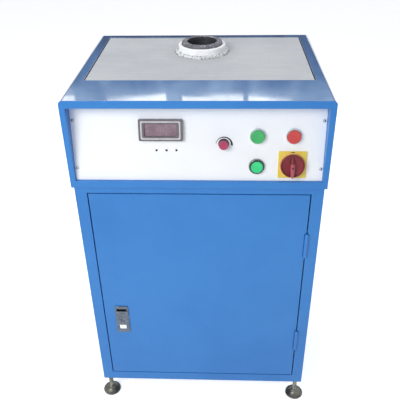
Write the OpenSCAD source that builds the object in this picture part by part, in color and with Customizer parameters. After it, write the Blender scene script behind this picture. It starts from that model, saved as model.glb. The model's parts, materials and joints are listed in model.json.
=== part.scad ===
// Electric gold melting furnace: a floor-standing induction furnace with a
// sheet-steel cabinet, a control head and a crucible set in its top.
// Front faces -Y, +Z is up, origin on the floor under the middle of the furnace.

/* [Cabinet] */
// Width of the cabinet
cab_w = 570; // [520:1:640]
// Depth of the cabinet
cab_d = 470; // [440:1:540]
// Height of the cabinet
cab_h = 650; // [600:1:720]
// Sheet thickness of casing parts
sheet = 1.5; // [1:0.1:2]
// Width of the face frame's upright members
stile_w = 27.5; // [24:0.5:32]
// Height of the face frame's bottom member
bottom_rail = 27.5; // [24:0.5:32]
// Height of the face frame's top member
top_rail = 17; // [14:0.5:24]
// Depth of the face frame's outer flanges
frame_depth = 40; // [36:1:50]
// Depth of the flange round the door opening
lip_depth = 22; // [20:1:30]
// Width of the flanges where panels meet
flange = 20; // [16:1:24]
// Thickness of the floor plate
floor_t = 2; // [1.5:0.1:3]

/* [Door] */
// Gap round the door
door_gap = 2.5; // [2:0.1:4]
// Depth of the door's folded edge
door_depth = 18; // [14:1:20]
// Radius of a hinge barrel
barrel_r = 4.75; // [4.5:0.05:5.5]
// Length of a whole hinge
hinge_len = 70; // [60:1:80]
// Radius of a hinge pin
pin_r = 2.5; // [2:0.1:3]
// How far the hinge axis stands before the cabinet's face
hinge_proud = 1.5; // [1.2:0.1:2.5]
// Height of the lower hinge's middle above the cabinet's base
hinge_low = 168; // [140:1:200]
// Height of the upper hinge's middle above the cabinet's base
hinge_high = 488; // [440:1:520]
// Clearance of a turning fit
run_fit = 0.05; // [0.02:0.01:0.09]
// Clearance round a moving piece
move_gap = 0.3; // [0.25:0.05:0.5]

/* [Latch] */
// Width of the latch housing
latch_w = 34; // [30:1:38]
// Height of the latch housing
latch_h = 91.5; // [86:0.5:100]
// Thickness of the latch housing's flange
latch_t = 3; // [2:0.1:4]
// Height of the latch's middle above the cabinet's base
latch_mid = 237; // [200:1:300]
// Distance from the door's edge to the latch housing
latch_inset = 28.5; // [27:0.5:40]
// Height of the paddle
paddle_h = 27; // [24:1:30]
// Width of the paddle
paddle_w = 26; // [22:1:28]
// Thickness of the paddle
paddle_t = 4; // [3:0.5:5]
// Width of the push button
push_w = 18; // [16:1:20]
// Height of the push button
push_h = 13; // [11:1:15]
// Travel of the push button
push_travel = 3; // [2:0.5:4]
// Radius of the key cylinder
key_r = 5.5; // [4.5:0.1:6]
// Height of the sliding tongue
tongue_h = 20; // [16:1:24]
// Thickness of the sliding tongue
tongue_t = 4; // [3:0.5:5]
// Travel of the sliding tongue
tongue_travel = 9; // [8:0.1:10]

/* [Head] */
// Width of the head
head_w = 580; // [540:1:660]
// Depth of the head
head_d = 480; // [450:1:550]
// Height of the head
head_h = 210; // [200:1:240]
// Radius of the front frame's top corners
corner_r = 9; // [5:0.5:12]
// Width of the front frame's side members
head_stile = 12.5; // [11:0.5:18]
// Height of the front frame's top and bottom members
head_rail = 17; // [14:0.5:20]
// Depth of the front frame's outer flanges
head_flange = 25; // [20:1:30]
// Width of the top frame's front strip
strip_front = 123; // [110:1:130]
// Width of the top frame's back strip
strip_back = 23; // [18:1:30]
// Width of the top frame's side strips
strip_side = 28.5; // [22:0.5:34]
// Depth of the top frame's folded edges
top_fold = 14; // [13:1:20]
// Thickness of the insulation board
board_t = 12; // [10:1:20]
// Gap beside the insulation board
board_gap = 2; // [1:0.5:4]
// How far the board lies below the top frame
board_drop = 1.5; // [0.5:0.5:3]

/* [Control panel] */
// Angle by which the panel leans back
panel_lean = 8; // [0:0.5:10]
// Depth of the panel's lower edge behind the front frame
panel_recess = 7; // [6:0.5:10]
// Thickness of the panel
panel_t = 2; // [1.5:0.1:3]
// Radius of a panel screw's head
screw_head_r = 3.6; // [3:0.1:4]
// Radius of a panel screw's shank
screw_r = 2; // [1.5:0.1:2.5]
// Distance of the panel screws from the panel's side edges
screw_inset = 6; // [5:0.5:8]
// Place of the meter across the panel
meter_x = -80; // [-100:1:-76]
// Height of the meter's middle up the panel
meter_up = 119; // [100:1:130]
// Width of the meter's bezel
meter_w = 96; // [90:1:100]
// Height of the meter's bezel
meter_h = 48; // [44:1:52]
// Spacing of the indicator lamps
lamp_pitch = 22; // [18:1:26]
// Height of the indicator lamps up the panel
lamp_up = 71.5; // [66:0.5:76]
// Distance of the middle lamp from the meter's middle, across the panel
lamp_shift = 11; // [0:1:14]
// Radius of an indicator lamp
lamp_r = 2.4; // [2:0.1:3]
// Place of the power knob across the panel
knob_x = 57; // [50:1:64]
// Height of the power knob up the panel
knob_up = 87; // [82:1:96]
// Radius of the power knob
knob_r = 12; // [10:0.5:14]
// Height of the power knob
knob_h = 14; // [10:1:18]
// Place of the start and illuminated buttons across the panel
start_x = 130.5; // [124:0.5:136]
// Place of the stop button across the panel
stop_x = 208.5; // [200:0.5:216]
// Height of the start and stop buttons up the panel
button_up = 105; // [98:1:112]
// Height of the illuminated button up the panel
lit_up = 35; // [30:1:42]
// Radius of a button's ring
ring_r = 18; // [17:0.5:19]
// Radius of a button's cap
cap_r = 15.25; // [14:0.25:16]
// How far the start and stop caps stand off the panel
cap_proud = 9.5; // [8.5:0.1:11]
// How far the illuminated cap stands off the panel
lit_proud = 8; // [7:0.1:9]
// Travel of a button
button_travel = 3.5; // [2:0.5:4]
// Radius of a button's barrel through the panel
barrel_hole_r = 11; // [10:0.25:12]
// Side of the isolator's square plate
plate_side = 62; // [58:1:64]
// Height of the isolator's middle up the panel
isolator_up = 39.5; // [38:0.5:44]
// Radius of the isolator's handle
handle_r = 28; // [24:1:30]
// How far the isolator's grip stands off the panel
grip_h = 21; // [18:1:34]

/* [Feet] */
// Height of the cabinet above the floor
foot_h = 65; // [55:1:80]
// Radius of a foot's pad
pad_r = 25; // [20:1:30]
// Radius of a foot's threaded stem
stem_r = 6; // [5:0.5:8]
// Distance of a foot's middle from the cabinet's faces
foot_inset = 15; // [14:0.5:18]
// Length of stem above the cabinet's base
stem_rise = 46; // [40:1:60]

/* [Crucible and coil] */
// Distance of the crucible's middle behind the head's front
crucible_back = 342; // [310:1:350]
// Outer radius of the crucible
crucible_r = 51.5; // [45:0.5:55]
// Inner radius of the crucible
cavity_r = 38; // [30:0.5:40]
// Height of the crucible
crucible_h = 170; // [150:1:175]
// Thickness of the crucible's bottom
crucible_base = 18; // [12:1:24]
// Height of the crucible's rim above the head
rim_rise = 26; // [15:1:35]
// Height of the fibre collar above the head
collar_rise = 19; // [10:1:24]
// Wall of the fibre collar
collar_wall = 8.5; // [6:0.5:9.5]
// Height of the ragged packing ring above the board
packing_rise = 7; // [4:0.5:9]
// Width of the ragged packing ring
packing_w = 10; // [7:0.5:12]
// Wall of the refractory liner
liner_wall = 12; // [9:0.5:14]
// Radius of the coil's copper tube
tube_r = 5; // [4:0.25:6]
// Turns of the coil
coil_turns = 7; // [5:1:8]
// Rise of the coil in one turn
coil_pitch = 14; // [13.5:0.25:15]

/* [Power and cooling] */
// Distance of the mounting plate before the cabinet's rear
plate_back = 95; // [85:1:110]
// Side of the fan
fan_side = 120; // [110:1:130]
// Depth of the fan
fan_depth = 38; // [30:1:42]
// Height of the fan's middle above the cabinet's base
fan_mid = 440; // [400:1:470]
// Outer radius of a water fitting's tail
tail_r = 6; // [5:0.5:8]
// Length of a water fitting's tail behind the cover
tail_len = 34; // [28:1:40]
// Bore radius of the cable gland
gland_r = 6.5; // [5:0.5:8]
// Outer radius of a water hose
hose_r = 7.5; // [6.5:0.5:9]

/* [Hidden] */
$fn = 64;

blue = [0.29, 0.55, 0.84];
steel = [0.72, 0.74, 0.76];
zinc = [0.36, 0.37, 0.36];
black = [0.08, 0.08, 0.09];
copper = [0.78, 0.45, 0.28];
green = [0.22, 0.70, 0.42];
red = [0.80, 0.22, 0.20];
bright_green = [0.20, 0.82, 0.54];
brass = [0.80, 0.66, 0.36];
dark = [0.26, 0.27, 0.30];
cream = [0.85, 0.84, 0.80];
board_green = [0.10, 0.36, 0.22];
white = [0.96, 0.96, 0.95];

// How far the head stands out over the cabinet, front and back
overhang = (head_d - cab_d) / 2;
// Half length of the isolator's grip
grip_half = handle_r - 1;
// How far the grip stands before the head and the water tails behind it
front_out = grip_h * cos(panel_lean) - (isolator_up - grip_half) * sin(panel_lean) - panel_recess;
rear_out = tail_len + sheet - overhang;
mid_y = (front_out - rear_out) / 2;
head_front = mid_y - head_d / 2;
head_back = mid_y + head_d / 2;
cab_front = mid_y - cab_d / 2;
cab_back = mid_y + cab_d / 2;
cab_z = foot_h;
deck_z = cab_z + cab_h;
head_top = deck_z + head_h;
floor_top = cab_z + sheet + floor_t;

// Door opening
door_x = cab_w / 2 - stile_w;
door_lo = cab_z + bottom_rail;
door_hi = deck_z - top_rail;
hinge_x = door_x - door_gap / 2;
hinge_y = cab_front - hinge_proud;
hinge_zs = [cab_z + hinge_low, cab_z + hinge_high];
barrel_room = barrel_r + move_gap;

// Latch
latch_x = -door_x + door_gap + latch_inset + latch_w / 2;
latch_z = cab_z + latch_mid;
latch_top = latch_z + latch_h / 2;
latch_depth = 14;
latch_face = cab_front - latch_t;
paddle_top = latch_top - 18;
paddle_pivot_z = paddle_top - 3;
paddle_pivot_y = latch_face + paddle_t / 2;
trunnion_r = 1.5;
trunnion_out = 1.2;
key_z = latch_top - 51;
push_z = latch_top - 71;
tongue_y = cab_front + latch_depth + move_gap;
tongue_reach = tongue_travel - door_gap - 0.5;

// Feet
foot_front = cab_front + foot_inset;
foot_rear = cab_back - foot_inset;
foot_x = cab_w / 2 - foot_inset;
nut_h = 10;
nut_r = 10;
stem_hole_r = stem_r + 0.6;

// Control panel, drawn flat: x across, y up the panel, z out of its face
window_x = head_w / 2 - head_stile;
window_lo = deck_z + head_rail;
window_h = head_h - 2 * head_rail;
panel_len = window_h / cos(panel_lean);
panel_deep = panel_recess + window_h * tan(panel_lean);
thread_len = 20;
barrel_bore = cap_r - 6;

// Top frame and board
open_x = head_w / 2 - strip_side;
open_front = head_front + strip_front;
open_back = head_back - strip_back;
board_top = head_top - board_drop;
board_low = board_top - board_t;

// Crucible and coil
crucible_y = head_front + crucible_back;
rim_z = head_top + rim_rise;
crucible_z = rim_z - crucible_h;
liner_in = crucible_r + 1;
liner_out = liner_in + liner_wall;
collar_in = crucible_r + 0.5;
collar_out = collar_in + collar_wall;
coil_r = liner_out + 0.5 + tube_r;
coil_z = crucible_z + tube_r + 9;
lead_bend = 18;
lead_straight = sqrt(pow(coil_r + 2 * tube_r + 2, 2) - coil_r * coil_r) - lead_bend;
lead_x = lead_straight + lead_bend;
lead_y = crucible_y - coil_r;
bar_h = 24;
bar_top = deck_z - 40;
brick_r = liner_out + 4;

// Mounting plate and what stands on it
plate_y = cab_back - plate_back;
plate_t = 2;
plate_half = cab_w / 2 - 55;
hose_z = cab_z + 60;
fan_x = -cab_w / 2 + 145;
fan_z = cab_z + fan_mid;
sink_low = fan_z - 175;
sink_w = 150;
sink_h = 240;
sink_d = 55;
fan_bore = fan_side / 2 - 4;
fan_blades = 7;
hub_r = 22;
cover_y = cab_back;
cover_out = cab_back + sheet;
gland_x = cab_w / 2 - 85;
gland_z = cab_z + 60;
stud_x = gland_x - 70;
stud_r = 4;

// Box between two corners
module span(a, b) {
  translate(a) cube(b - a);
}

// Rectangular tube along y, measured over its outside
module sleeve(half, lo, hi, y0, y1, wall) {
  difference() {
    span([-half, y0, lo], [half, y1, hi]);
    span([-half + wall, y0 - 1, lo + wall], [half - wall, y1 + 1, hi - wall]);
  }
}

// Round bar along y from y0 to y1
module bar_y(x, z, r, y0, y1) {
  translate([x, y0, z]) rotate([-90, 0, 0]) cylinder(r = r, h = y1 - y0);
}

// Flat shape in x and z, thickened along y from y0 to y1
module slab_y(y0, y1) {
  translate([0, y1, 0]) rotate([90, 0, 0]) linear_extrude(y1 - y0) children();
}

// Upright rectangle with rounded top corners
module arch(half, lo, hi, r) {
  intersection() {
    translate([-half, lo]) square([2 * half, hi - lo]);
    union() {
      translate([-half, lo - r]) square([2 * half, hi - lo]);
      translate([-half + r, lo]) square([2 * (half - r), hi - lo]);
      for (side = [-1, 1]) translate([side * (half - r), hi - r]) circle(r);
    }
  }
}

// Rectangle with four rounded corners, centred
module rounded(w, h, r) {
  square([w - 2 * r, h], center = true);
  square([w, h - 2 * r], center = true);
  for (sx = [-1, 1], sy = [-1, 1]) translate([sx * (w / 2 - r), sy * (h / 2 - r)]) circle(r);
}

// Places its children on the leaning panel's face
module on_panel(x = 0, up = 0, out = 0) {
  translate([0, head_front + panel_recess, window_lo])
    rotate([90 - panel_lean, 0, 0])
      translate([x, up, out]) children();
}

// Notch that a hinge barrel sits in, cut through door and frame
module hinge_notches() {
  for (z = hinge_zs)
    span([hinge_x - barrel_room, hinge_y, z - hinge_len / 2 - move_gap],
      [hinge_x + barrel_room, hinge_y + barrel_room, z + hinge_len / 2 + move_gap]);
}

// Opening for the latch tongue, through door edge and frame lip
module tongue_slot() {
  span([-door_x - 2 * tongue_reach, tongue_y - move_gap, latch_z - tongue_h / 2 - move_gap],
    [-door_x + door_gap + 2 * sheet, tongue_y + tongue_t + move_gap,
      latch_z + tongue_h / 2 + move_gap]);
}

// Holes for the four feet
module foot_holes(r) {
  for (x = [-foot_x, foot_x], y = [foot_front, foot_rear])
    translate([x, y, cab_z - 1]) cylinder(r = r, h = 3 * nut_h);
}

module face_frame() {
  color(blue) difference() {
    union() {
      difference() {
        span([-cab_w / 2, cab_front, cab_z], [cab_w / 2, cab_front + sheet, deck_z]);
        span([-door_x, cab_front - 1, door_lo], [door_x, cab_front + sheet + 1, door_hi]);
      }
      sleeve(cab_w / 2, cab_z, deck_z, cab_front, cab_front + frame_depth, sheet);
      sleeve(door_x + sheet, door_lo - sheet, door_hi + sheet,
        cab_front, cab_front + lip_depth, sheet);
    }
    hinge_notches();
    tongue_slot();
    foot_holes(stem_hole_r);
  }
}

module side_panel(side) {
  outer = side * cab_w / 2;
  low_x = min(outer, outer - side * sheet);
  color(blue) difference() {
    union() {
      span([low_x, cab_front + frame_depth, cab_z], [low_x + sheet, cab_back, deck_z - sheet]);
      // rear return, and foot flange along the base
      translate([side > 0 ? outer - flange : outer, cab_back - sheet, cab_z])
        cube([flange, sheet, deck_z - sheet - cab_z]);
      translate([side > 0 ? outer - 2 * foot_inset : outer, cab_front + frame_depth, cab_z])
        cube([2 * foot_inset, cab_d - frame_depth, sheet]);
    }
    foot_holes(stem_hole_r);
  }
}

module floor_plate() {
  color(steel) difference() {
    span([-cab_w / 2 + sheet, cab_front + frame_depth, cab_z + sheet],
      [cab_w / 2 - sheet, cab_back - sheet, floor_top]);
    foot_holes(stem_hole_r);
  }
}

module deck_plate() {
  color(steel) difference() {
    span([-cab_w / 2, cab_front + frame_depth, deck_z - sheet], [cab_w / 2, cab_back, deck_z]);
    // coil leads come down through two holes
    for (x = [-lead_x, lead_x])
      translate([x, lead_y, deck_z - 2 * sheet]) cylinder(r = tube_r + 4, h = 3 * sheet);
    // cables rise to the control panel through a third
    translate([lead_x + 100, cab_front + 90, deck_z - 2 * sheet]) cylinder(r = 22, h = 3 * sheet);
  }
}

// Places of the rear cover's screws
screw_xs = [-cab_w / 2 + flange / 2, cab_w / 2 - flange / 2];
screw_zs = [cab_z + 30, cab_z + cab_h / 2, deck_z - 30];

module rear_cover() {
  vent_w = 90;
  vent_xs = [cab_w / 2 - 225, cab_w / 2 - 105];
  vent_pitch = 18;
  vent_low = fan_z - 70;
  hole_r = 4;
  hole_pitch = 12;
  color(blue) difference() {
    union() {
      span([-cab_w / 2 + 2, cover_y, cab_z + 2], [cab_w / 2 - 2, cover_out, deck_z - 2]);
      // louvre hoods
      for (x = vent_xs, k = [0:7])
        translate([x - vent_w / 2, cover_out, vent_low + vent_pitch * k])
          rotate([90, 0, 90]) linear_extrude(vent_w) polygon([[0, 9], [5, 0], [6, 1], [1, 10], [0, 10]]);
    }
    for (x = vent_xs, k = [0:7])
      span([x - vent_w / 2 + 2, cover_y - 1, vent_low + vent_pitch * k],
        [x + vent_w / 2 - 2, cover_out + 0.1, vent_low + vent_pitch * k + 7]);
    // punched holes before the fan
    bar_y(fan_x, fan_z, hole_r, cover_y - 1, cover_out + 1);
    for (ring = [1:4], k = [0:6 * ring - 1])
      translate([fan_x, 0, fan_z]) rotate([0, 360 * k / (6 * ring), 0])
        bar_y(0, hole_pitch * ring, hole_r, cover_y - 1, cover_out + 1);
    for (x = [-lead_x, lead_x]) bar_y(x, hose_z, tail_r + 2, cover_y - 1, cover_out + 1);
    bar_y(gland_x, gland_z, gland_r + 4, cover_y - 1, cover_out + 1);
    bar_y(stud_x, gland_z, stud_r, cover_y - 1, cover_out + 1);
    for (x = screw_xs, z = screw_zs) bar_y(x, z, screw_r, cover_y - 1, cover_out + 1);
  }
}

module rear_cover_screws() {
  color(zinc) for (x = screw_xs, z = screw_zs) {
    bar_y(x, z, screw_r, cover_y, cover_out);
    bar_y(x, z, screw_head_r, cover_out, cover_out + 2.2);
  }
}

// Height of the seat under a foot's nut
function nut_seat(y) = y == foot_front ? cab_z + sheet : floor_top;

module foot_nuts() {
  color(zinc) for (x = [-foot_x, foot_x], y = [foot_front, foot_rear])
    translate([x, y, nut_seat(y)]) difference() {
      cylinder(r = nut_r, h = nut_h, $fn = 6);
      translate([0, 0, -1]) cylinder(r = stem_r + run_fit, h = nut_h + 2);
    }
}

module foot(x, y) {
  boss_r = stem_r + 4;
  color(zinc) translate([x, y, 0]) {
    rotate_extrude() polygon([[0, 0], [pad_r - 1.5, 0], [pad_r, 1.5], [pad_r, 4.5], [pad_r - 1, 5.5],
      [pad_r - 2.5, 5.2], [boss_r + 1, 11], [boss_r, 17], [stem_r, 19], [0, 19]]);
    translate([0, 0, 15]) cylinder(r = stem_r, h = foot_h + stem_rise - 15);
  }
}

module hinge_lower_halves() {
  color(blue) for (z = hinge_zs) translate([hinge_x, hinge_y, z - hinge_len / 2]) difference() {
    union() {
      cylinder(r1 = barrel_r - 2, r2 = barrel_r, h = 2);
      translate([0, 0, 2]) cylinder(r = barrel_r, h = hinge_len / 2 - 2);
      // weld tab onto the frame's lip
      span([door_gap / 2, 0, 4], [door_gap / 2 + sheet, barrel_room, hinge_len / 2]);
    }
    translate([0, 0, 6]) cylinder(r = pin_r + 0.02, h = hinge_len);
  }
}

module hinge_pins() {
  color(steel) for (z = hinge_zs)
    translate([hinge_x, hinge_y, z - hinge_len / 2 + 6]) cylinder(r = pin_r, h = hinge_len - 12);
}

module hinge_upper_halves() {
  color(blue) for (z = hinge_zs) translate([hinge_x, hinge_y, z + move_gap]) difference() {
    half = hinge_len / 2 - move_gap;
    union() {
      cylinder(r = barrel_r, h = half - 2);
      translate([0, 0, half - 2]) cylinder(r1 = barrel_r, r2 = barrel_r - 2, h = 2);
      // weld tab onto the door's folded edge
      span([-door_gap / 2 - sheet, 0, 0], [-door_gap / 2, barrel_room, half - 4]);
    }
    translate([0, 0, -1]) cylinder(r = pin_r + run_fit, h = half - 4);
  }
}

module door_panel() {
  edge = door_x - door_gap;
  lo = door_lo + door_gap;
  hi = door_hi - door_gap;
  color(blue) difference() {
    span([-edge, cab_front, lo], [edge, cab_front + door_depth, hi]);
    span([-edge + sheet, cab_front + sheet, lo + sheet],
      [edge - sheet, cab_front + door_depth + 1, hi - sheet]);
    hinge_notches();
    tongue_slot();
    latch_cutout(0);
  }
}

// Space that the latch housing's body fills in the door's skin
module latch_cutout(gap) {
  w = latch_w - 5 - 2 * gap;
  h = latch_h - 5 - 2 * gap;
  span([latch_x - w / 2, cab_front - 1, latch_z - h / 2],
    [latch_x + w / 2, cab_front + latch_depth, latch_z + h / 2]);
}

module latch_housing() {
  pw = paddle_w / 2 + move_gap;
  color(steel) difference() {
    union() {
      translate([latch_x, 0, latch_z]) slab_y(latch_face, cab_front) rounded(latch_w, latch_h, 3);
      latch_cutout(0.1);
    }
    // finger recess and paddle pocket
    span([latch_x - pw, latch_face - 1, paddle_top - paddle_h - move_gap],
      [latch_x + pw, cab_front + latch_depth - 4, latch_top - 8]);
    translate([latch_x - pw - trunnion_out, paddle_pivot_y, paddle_pivot_z]) rotate([0, 90, 0])
      cylinder(r = trunnion_r + run_fit, h = 2 * (pw + trunnion_out));
    bar_y(latch_x, key_z, key_r + run_fit, latch_face - 1, cab_front + latch_depth - 3);
    span([latch_x - push_w / 2 - move_gap, latch_face - 1, push_z - push_h / 2 - move_gap],
      [latch_x + push_w / 2 + move_gap, cab_front + latch_depth - 3, push_z + push_h / 2 + move_gap]);
  }
}

module latch_paddle() {
  color(steel) difference() {
    union() {
      span([latch_x - paddle_w / 2, latch_face, paddle_top - paddle_h],
        [latch_x + paddle_w / 2, latch_face + paddle_t, paddle_top]);
      translate([latch_x - paddle_w / 2 - trunnion_out, paddle_pivot_y, paddle_pivot_z])
        rotate([0, 90, 0]) cylinder(r = trunnion_r, h = paddle_w + 2 * trunnion_out);
    }
    // finger groove across the face
    translate([latch_x - paddle_w, latch_face - 1, paddle_top - paddle_h + 5])
      rotate([0, 90, 0]) cylinder(r = 2, h = 2 * paddle_w);
  }
}

module latch_push_button() {
  color(steel) span([latch_x - push_w / 2, latch_face - 1.5, push_z - push_h / 2],
    [latch_x + push_w / 2, cab_front + latch_depth - 3 - push_travel - move_gap, push_z + push_h / 2]);
}

module latch_key_cylinder() {
  color(steel) difference() {
    bar_y(latch_x, key_z, key_r, latch_face - 0.6, cab_front + latch_depth - 3 - move_gap);
    span([latch_x - 0.6, latch_face - 1, key_z - 3], [latch_x + 0.6, latch_face + 4, key_z + 3]);
  }
}

module latch_tongue() {
  tip = -door_x - tongue_reach;
  heel = latch_x + latch_w / 2;
  color(steel) translate([0, 0, latch_z - tongue_h / 2]) linear_extrude(tongue_h)
    polygon([[tip, tongue_y], [heel, tongue_y], [heel, tongue_y + tongue_t],
      [tip + 4, tongue_y + tongue_t], [tip, tongue_y + 1]]);
}

module head_front_frame() {
  color(blue) union() {
    difference() {
      slab_y(head_front, head_front + sheet) arch(head_w / 2, deck_z, head_top, corner_r);
      span([-window_x, head_front - 1, window_lo],
        [window_x, head_front + sheet + 1, window_lo + window_h]);
    }
    // outer flanges at the sides and base
    for (side = [-1, 1]) {
      edge = side * (head_w / 2 - sheet / 2);
      span([edge - sheet / 2, head_front, deck_z],
        [edge + sheet / 2, head_front + head_flange, head_top - top_fold]);
    }
    span([-head_w / 2, head_front, deck_z], [head_w / 2, head_front + head_flange, deck_z + sheet]);
    // sill and header of the window
    span([-window_x, head_front, window_lo - sheet],
      [window_x, head_front + panel_recess + panel_t + 1, window_lo]);
    span([-window_x, head_front, window_lo + window_h],
      [window_x, head_front + panel_deep + panel_t + 1, window_lo + window_h + sheet]);
    // cheeks beside the leaning panel
    for (side = [-1, 1]) translate([side > 0 ? window_x : -window_x - sheet, 0, 0])
      rotate([90, 0, 90]) linear_extrude(sheet)
        polygon([[head_front, window_lo - sheet], [head_front + panel_recess + 4, window_lo - sheet],
          [head_front + panel_deep + 4, window_lo + window_h + sheet],
          [head_front, window_lo + window_h + sheet]]);
    // screw flanges behind the panel
    difference() {
      for (side = [-1, 1]) on_panel(side * (window_x - screw_inset), panel_len / 2, -panel_t - sheet / 2)
        cube([2 * screw_inset, panel_len - 4, sheet], center = true);
      screws_at() cylinder(r = screw_r, h = 30, center = true);
    }
  }
}

module head_side_panel(side) {
  outer = side * (head_w / 2 - sheet);
  low_x = side > 0 ? outer - sheet : outer;
  color(blue) {
    span([low_x, head_front + sheet, deck_z + sheet],
      [low_x + sheet, head_back - 2 * sheet, head_top - corner_r]);
    translate([side > 0 ? outer - flange : outer, head_front + head_flange, deck_z])
      cube([flange, head_d - head_flange - 2 * sheet, sheet]);
  }
}

module head_back_panel() {
  half = head_w / 2 - sheet;
  color(blue) {
    span([-half, head_back - 2 * sheet, deck_z + sheet], [half, head_back - sheet, head_top - corner_r]);
    span([-half + flange, head_back - 2 * sheet - flange, deck_z],
      [half - flange, head_back - sheet, deck_z + sheet]);
  }
}

module top_frame() {
  color(steel) difference() {
    union() {
      slab_y(head_front + sheet, head_back) difference() {
        arch(head_w / 2, head_top - top_fold, head_top, corner_r);
        arch(head_w / 2 - sheet, head_top - top_fold - 1, head_top - sheet, corner_r - sheet);
      }
      slab_y(head_back - sheet, head_back) arch(head_w / 2, head_top - top_fold, head_top, corner_r);
      // edges folded down round the board
      translate([0, 0, board_low]) linear_extrude(head_top - board_low) difference() {
        translate([-open_x - sheet, open_front - sheet])
          square([2 * (open_x + sheet), open_back - open_front + 2 * sheet]);
        translate([-open_x, open_front]) square([2 * open_x, open_back - open_front]);
      }
    }
    span([-open_x, open_front, head_top - top_fold], [open_x, open_back, head_top + 1]);
  }
}

module board_ledge() {
  ledge_w = 16;
  color(steel) difference() {
    span([-open_x - 2 * sheet, open_front - 2 * sheet, board_low - sheet],
      [open_x + 2 * sheet, open_back + 2 * sheet, board_low]);
    span([-open_x + ledge_w, open_front + ledge_w, board_low - 2 * sheet],
      [open_x - ledge_w, open_back - ledge_w, board_low + 1]);
  }
}

module insulation_board() {
  color([0.76, 0.78, 0.79]) difference() {
    span([-open_x + board_gap, open_front + 0.5, board_low],
      [open_x - board_gap, open_back - 0.5, board_top]);
    translate([0, crucible_y, board_low - 1]) cylinder(r = collar_out + 0.4, h = board_t + 2);
  }
}

// Repeats its child at the panel's four screws
module screws_at() {
  for (side = [-1, 1], up = [29, 139])
    on_panel(side * (window_x - screw_inset), up) children();
}

module control_panel() {
  color([0.93, 0.95, 0.97]) difference() {
    on_panel(-window_x + move_gap, move_gap, -panel_t)
      cube([2 * (window_x - move_gap), panel_len - 2 * move_gap - 1, panel_t]);
    screws_at() cylinder(r = screw_r, h = 30, center = true);
    on_panel(meter_x, meter_up) cube([meter_w - 6, meter_h - 6, 30], center = true);
    for (k = [-1:1]) on_panel(meter_x + lamp_shift + k * lamp_pitch, lamp_up)
      cylinder(r = lamp_r, h = 30, center = true);
    on_panel(knob_x, knob_up) cylinder(r = 5, h = 30, center = true);
    for (p = button_places) on_panel(p[0], p[1]) cylinder(r = barrel_hole_r, h = 30, center = true);
    on_panel(stop_x, isolator_up) cylinder(r = 8, h = 30, center = true);
  }
}

module panel_screws() {
  color(zinc) screws_at() {
    translate([0, 0, -panel_t - sheet]) cylinder(r = screw_r, h = panel_t + sheet + 1);
    cylinder(r1 = screw_head_r, r2 = screw_head_r - 1.2, h = 2.4);
  }
}

module meter_bezel() {
  win_w = meter_w - 24;
  win_h = meter_h - 19;
  color([0.42, 0.40, 0.42]) on_panel(meter_x, meter_up) difference() {
    union() {
      linear_extrude(8) rounded(meter_w, meter_h, 2);
      // case behind the panel
      translate([0, 0, -30]) cube([meter_w - 6, meter_h - 6, 62], center = true);
    }
    translate([0, 0, 2]) linear_extrude(8) rounded(win_w, win_h, 4);
  }
}

module meter_window() {
  color([0.35, 0.24, 0.28]) on_panel(meter_x, meter_up, 2)
    linear_extrude(2) rounded(meter_w - 24.4, meter_h - 19.4, 3.8);
}

module indicator_lamps() {
  color(black) for (k = [-1:1]) on_panel(meter_x + lamp_shift + k * lamp_pitch, lamp_up, -8) {
    cylinder(r = lamp_r, h = 8);
    translate([0, 0, 8]) cylinder(r1 = lamp_r, r2 = lamp_r - 1, h = 1.2);
  }
}

module power_knob() {
  color([0.66, 0.28, 0.42]) on_panel(knob_x, knob_up) {
    translate([0, 0, move_gap]) cylinder(r = knob_r, h = 3);
    translate([0, 0, 3]) cylinder(r1 = knob_r - 1, r2 = knob_r - 1.6, h = knob_h - 4);
    translate([0, 0, knob_h - 1]) cylinder(r1 = knob_r - 1.6, r2 = knob_r - 2.4, h = 1);
    translate([0, 0, -16]) cylinder(r = 3, h = 18);
  }
}

module potentiometer() {
  color(steel) on_panel(knob_x, knob_up) difference() {
    union() {
      translate([0, 0, -panel_t - 16]) cylinder(r = 12, h = 16);
      translate([0, 0, -panel_t - 1]) cylinder(r = 4.8, h = panel_t + 1);
    }
    translate([0, 0, -16 - move_gap]) cylinder(r = 3 + run_fit, h = 20);
  }
}

button_places = [[start_x, button_up], [stop_x, button_up], [start_x, lit_up]];

module button_rings() {
  color(steel) for (p = button_places) on_panel(p[0], p[1]) difference() {
    union() {
      cylinder(r = ring_r, h = 3);
      translate([0, 0, 3]) cylinder(r1 = ring_r, r2 = ring_r - 1.5, h = 3);
      translate([0, 0, -thread_len]) cylinder(r = barrel_hole_r - 0.1, h = thread_len + 1);
      // lock nut behind the panel
      translate([0, 0, -panel_t - 4]) cylinder(r = barrel_hole_r + 3, h = 4, $fn = 8);
    }
    translate([0, 0, 0.5]) cylinder(r = cap_r + move_gap, h = 10);
    translate([0, 0, -thread_len - 1]) cylinder(r = barrel_bore + run_fit, h = thread_len + 5);
  }
}

// Cap and plunger of a button: the cap stands proud of its ring
module button(p, shade, proud) {
  color(shade) on_panel(p[0], p[1]) {
    translate([0, 0, 0.7 + button_travel]) cylinder(r = cap_r, h = proud - button_travel - 1.7);
    translate([0, 0, proud - 1]) cylinder(r1 = cap_r, r2 = cap_r - 1.2, h = 1);
    translate([0, 0, -thread_len]) cylinder(r = barrel_bore, h = thread_len + 5);
  }
}

module switch_bodies() {
  color(black) {
    for (p = button_places) on_panel(p[0], p[1], -thread_len - 16) difference() {
      cube([30, 34, 32], center = true);
      translate([0, 0, 16 - button_travel - 1]) cylinder(r = barrel_bore + move_gap, h = 10);
    }
    on_panel(stop_x, isolator_up, -panel_t - 22) difference() {
      union() {
        cube([48, 48, 44], center = true);
        cylinder(r = 7.8, h = 22 + panel_t);
      }
      translate([0, 0, 2]) cylinder(r = 5 + run_fit, h = 40);
    }
  }
}

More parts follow.
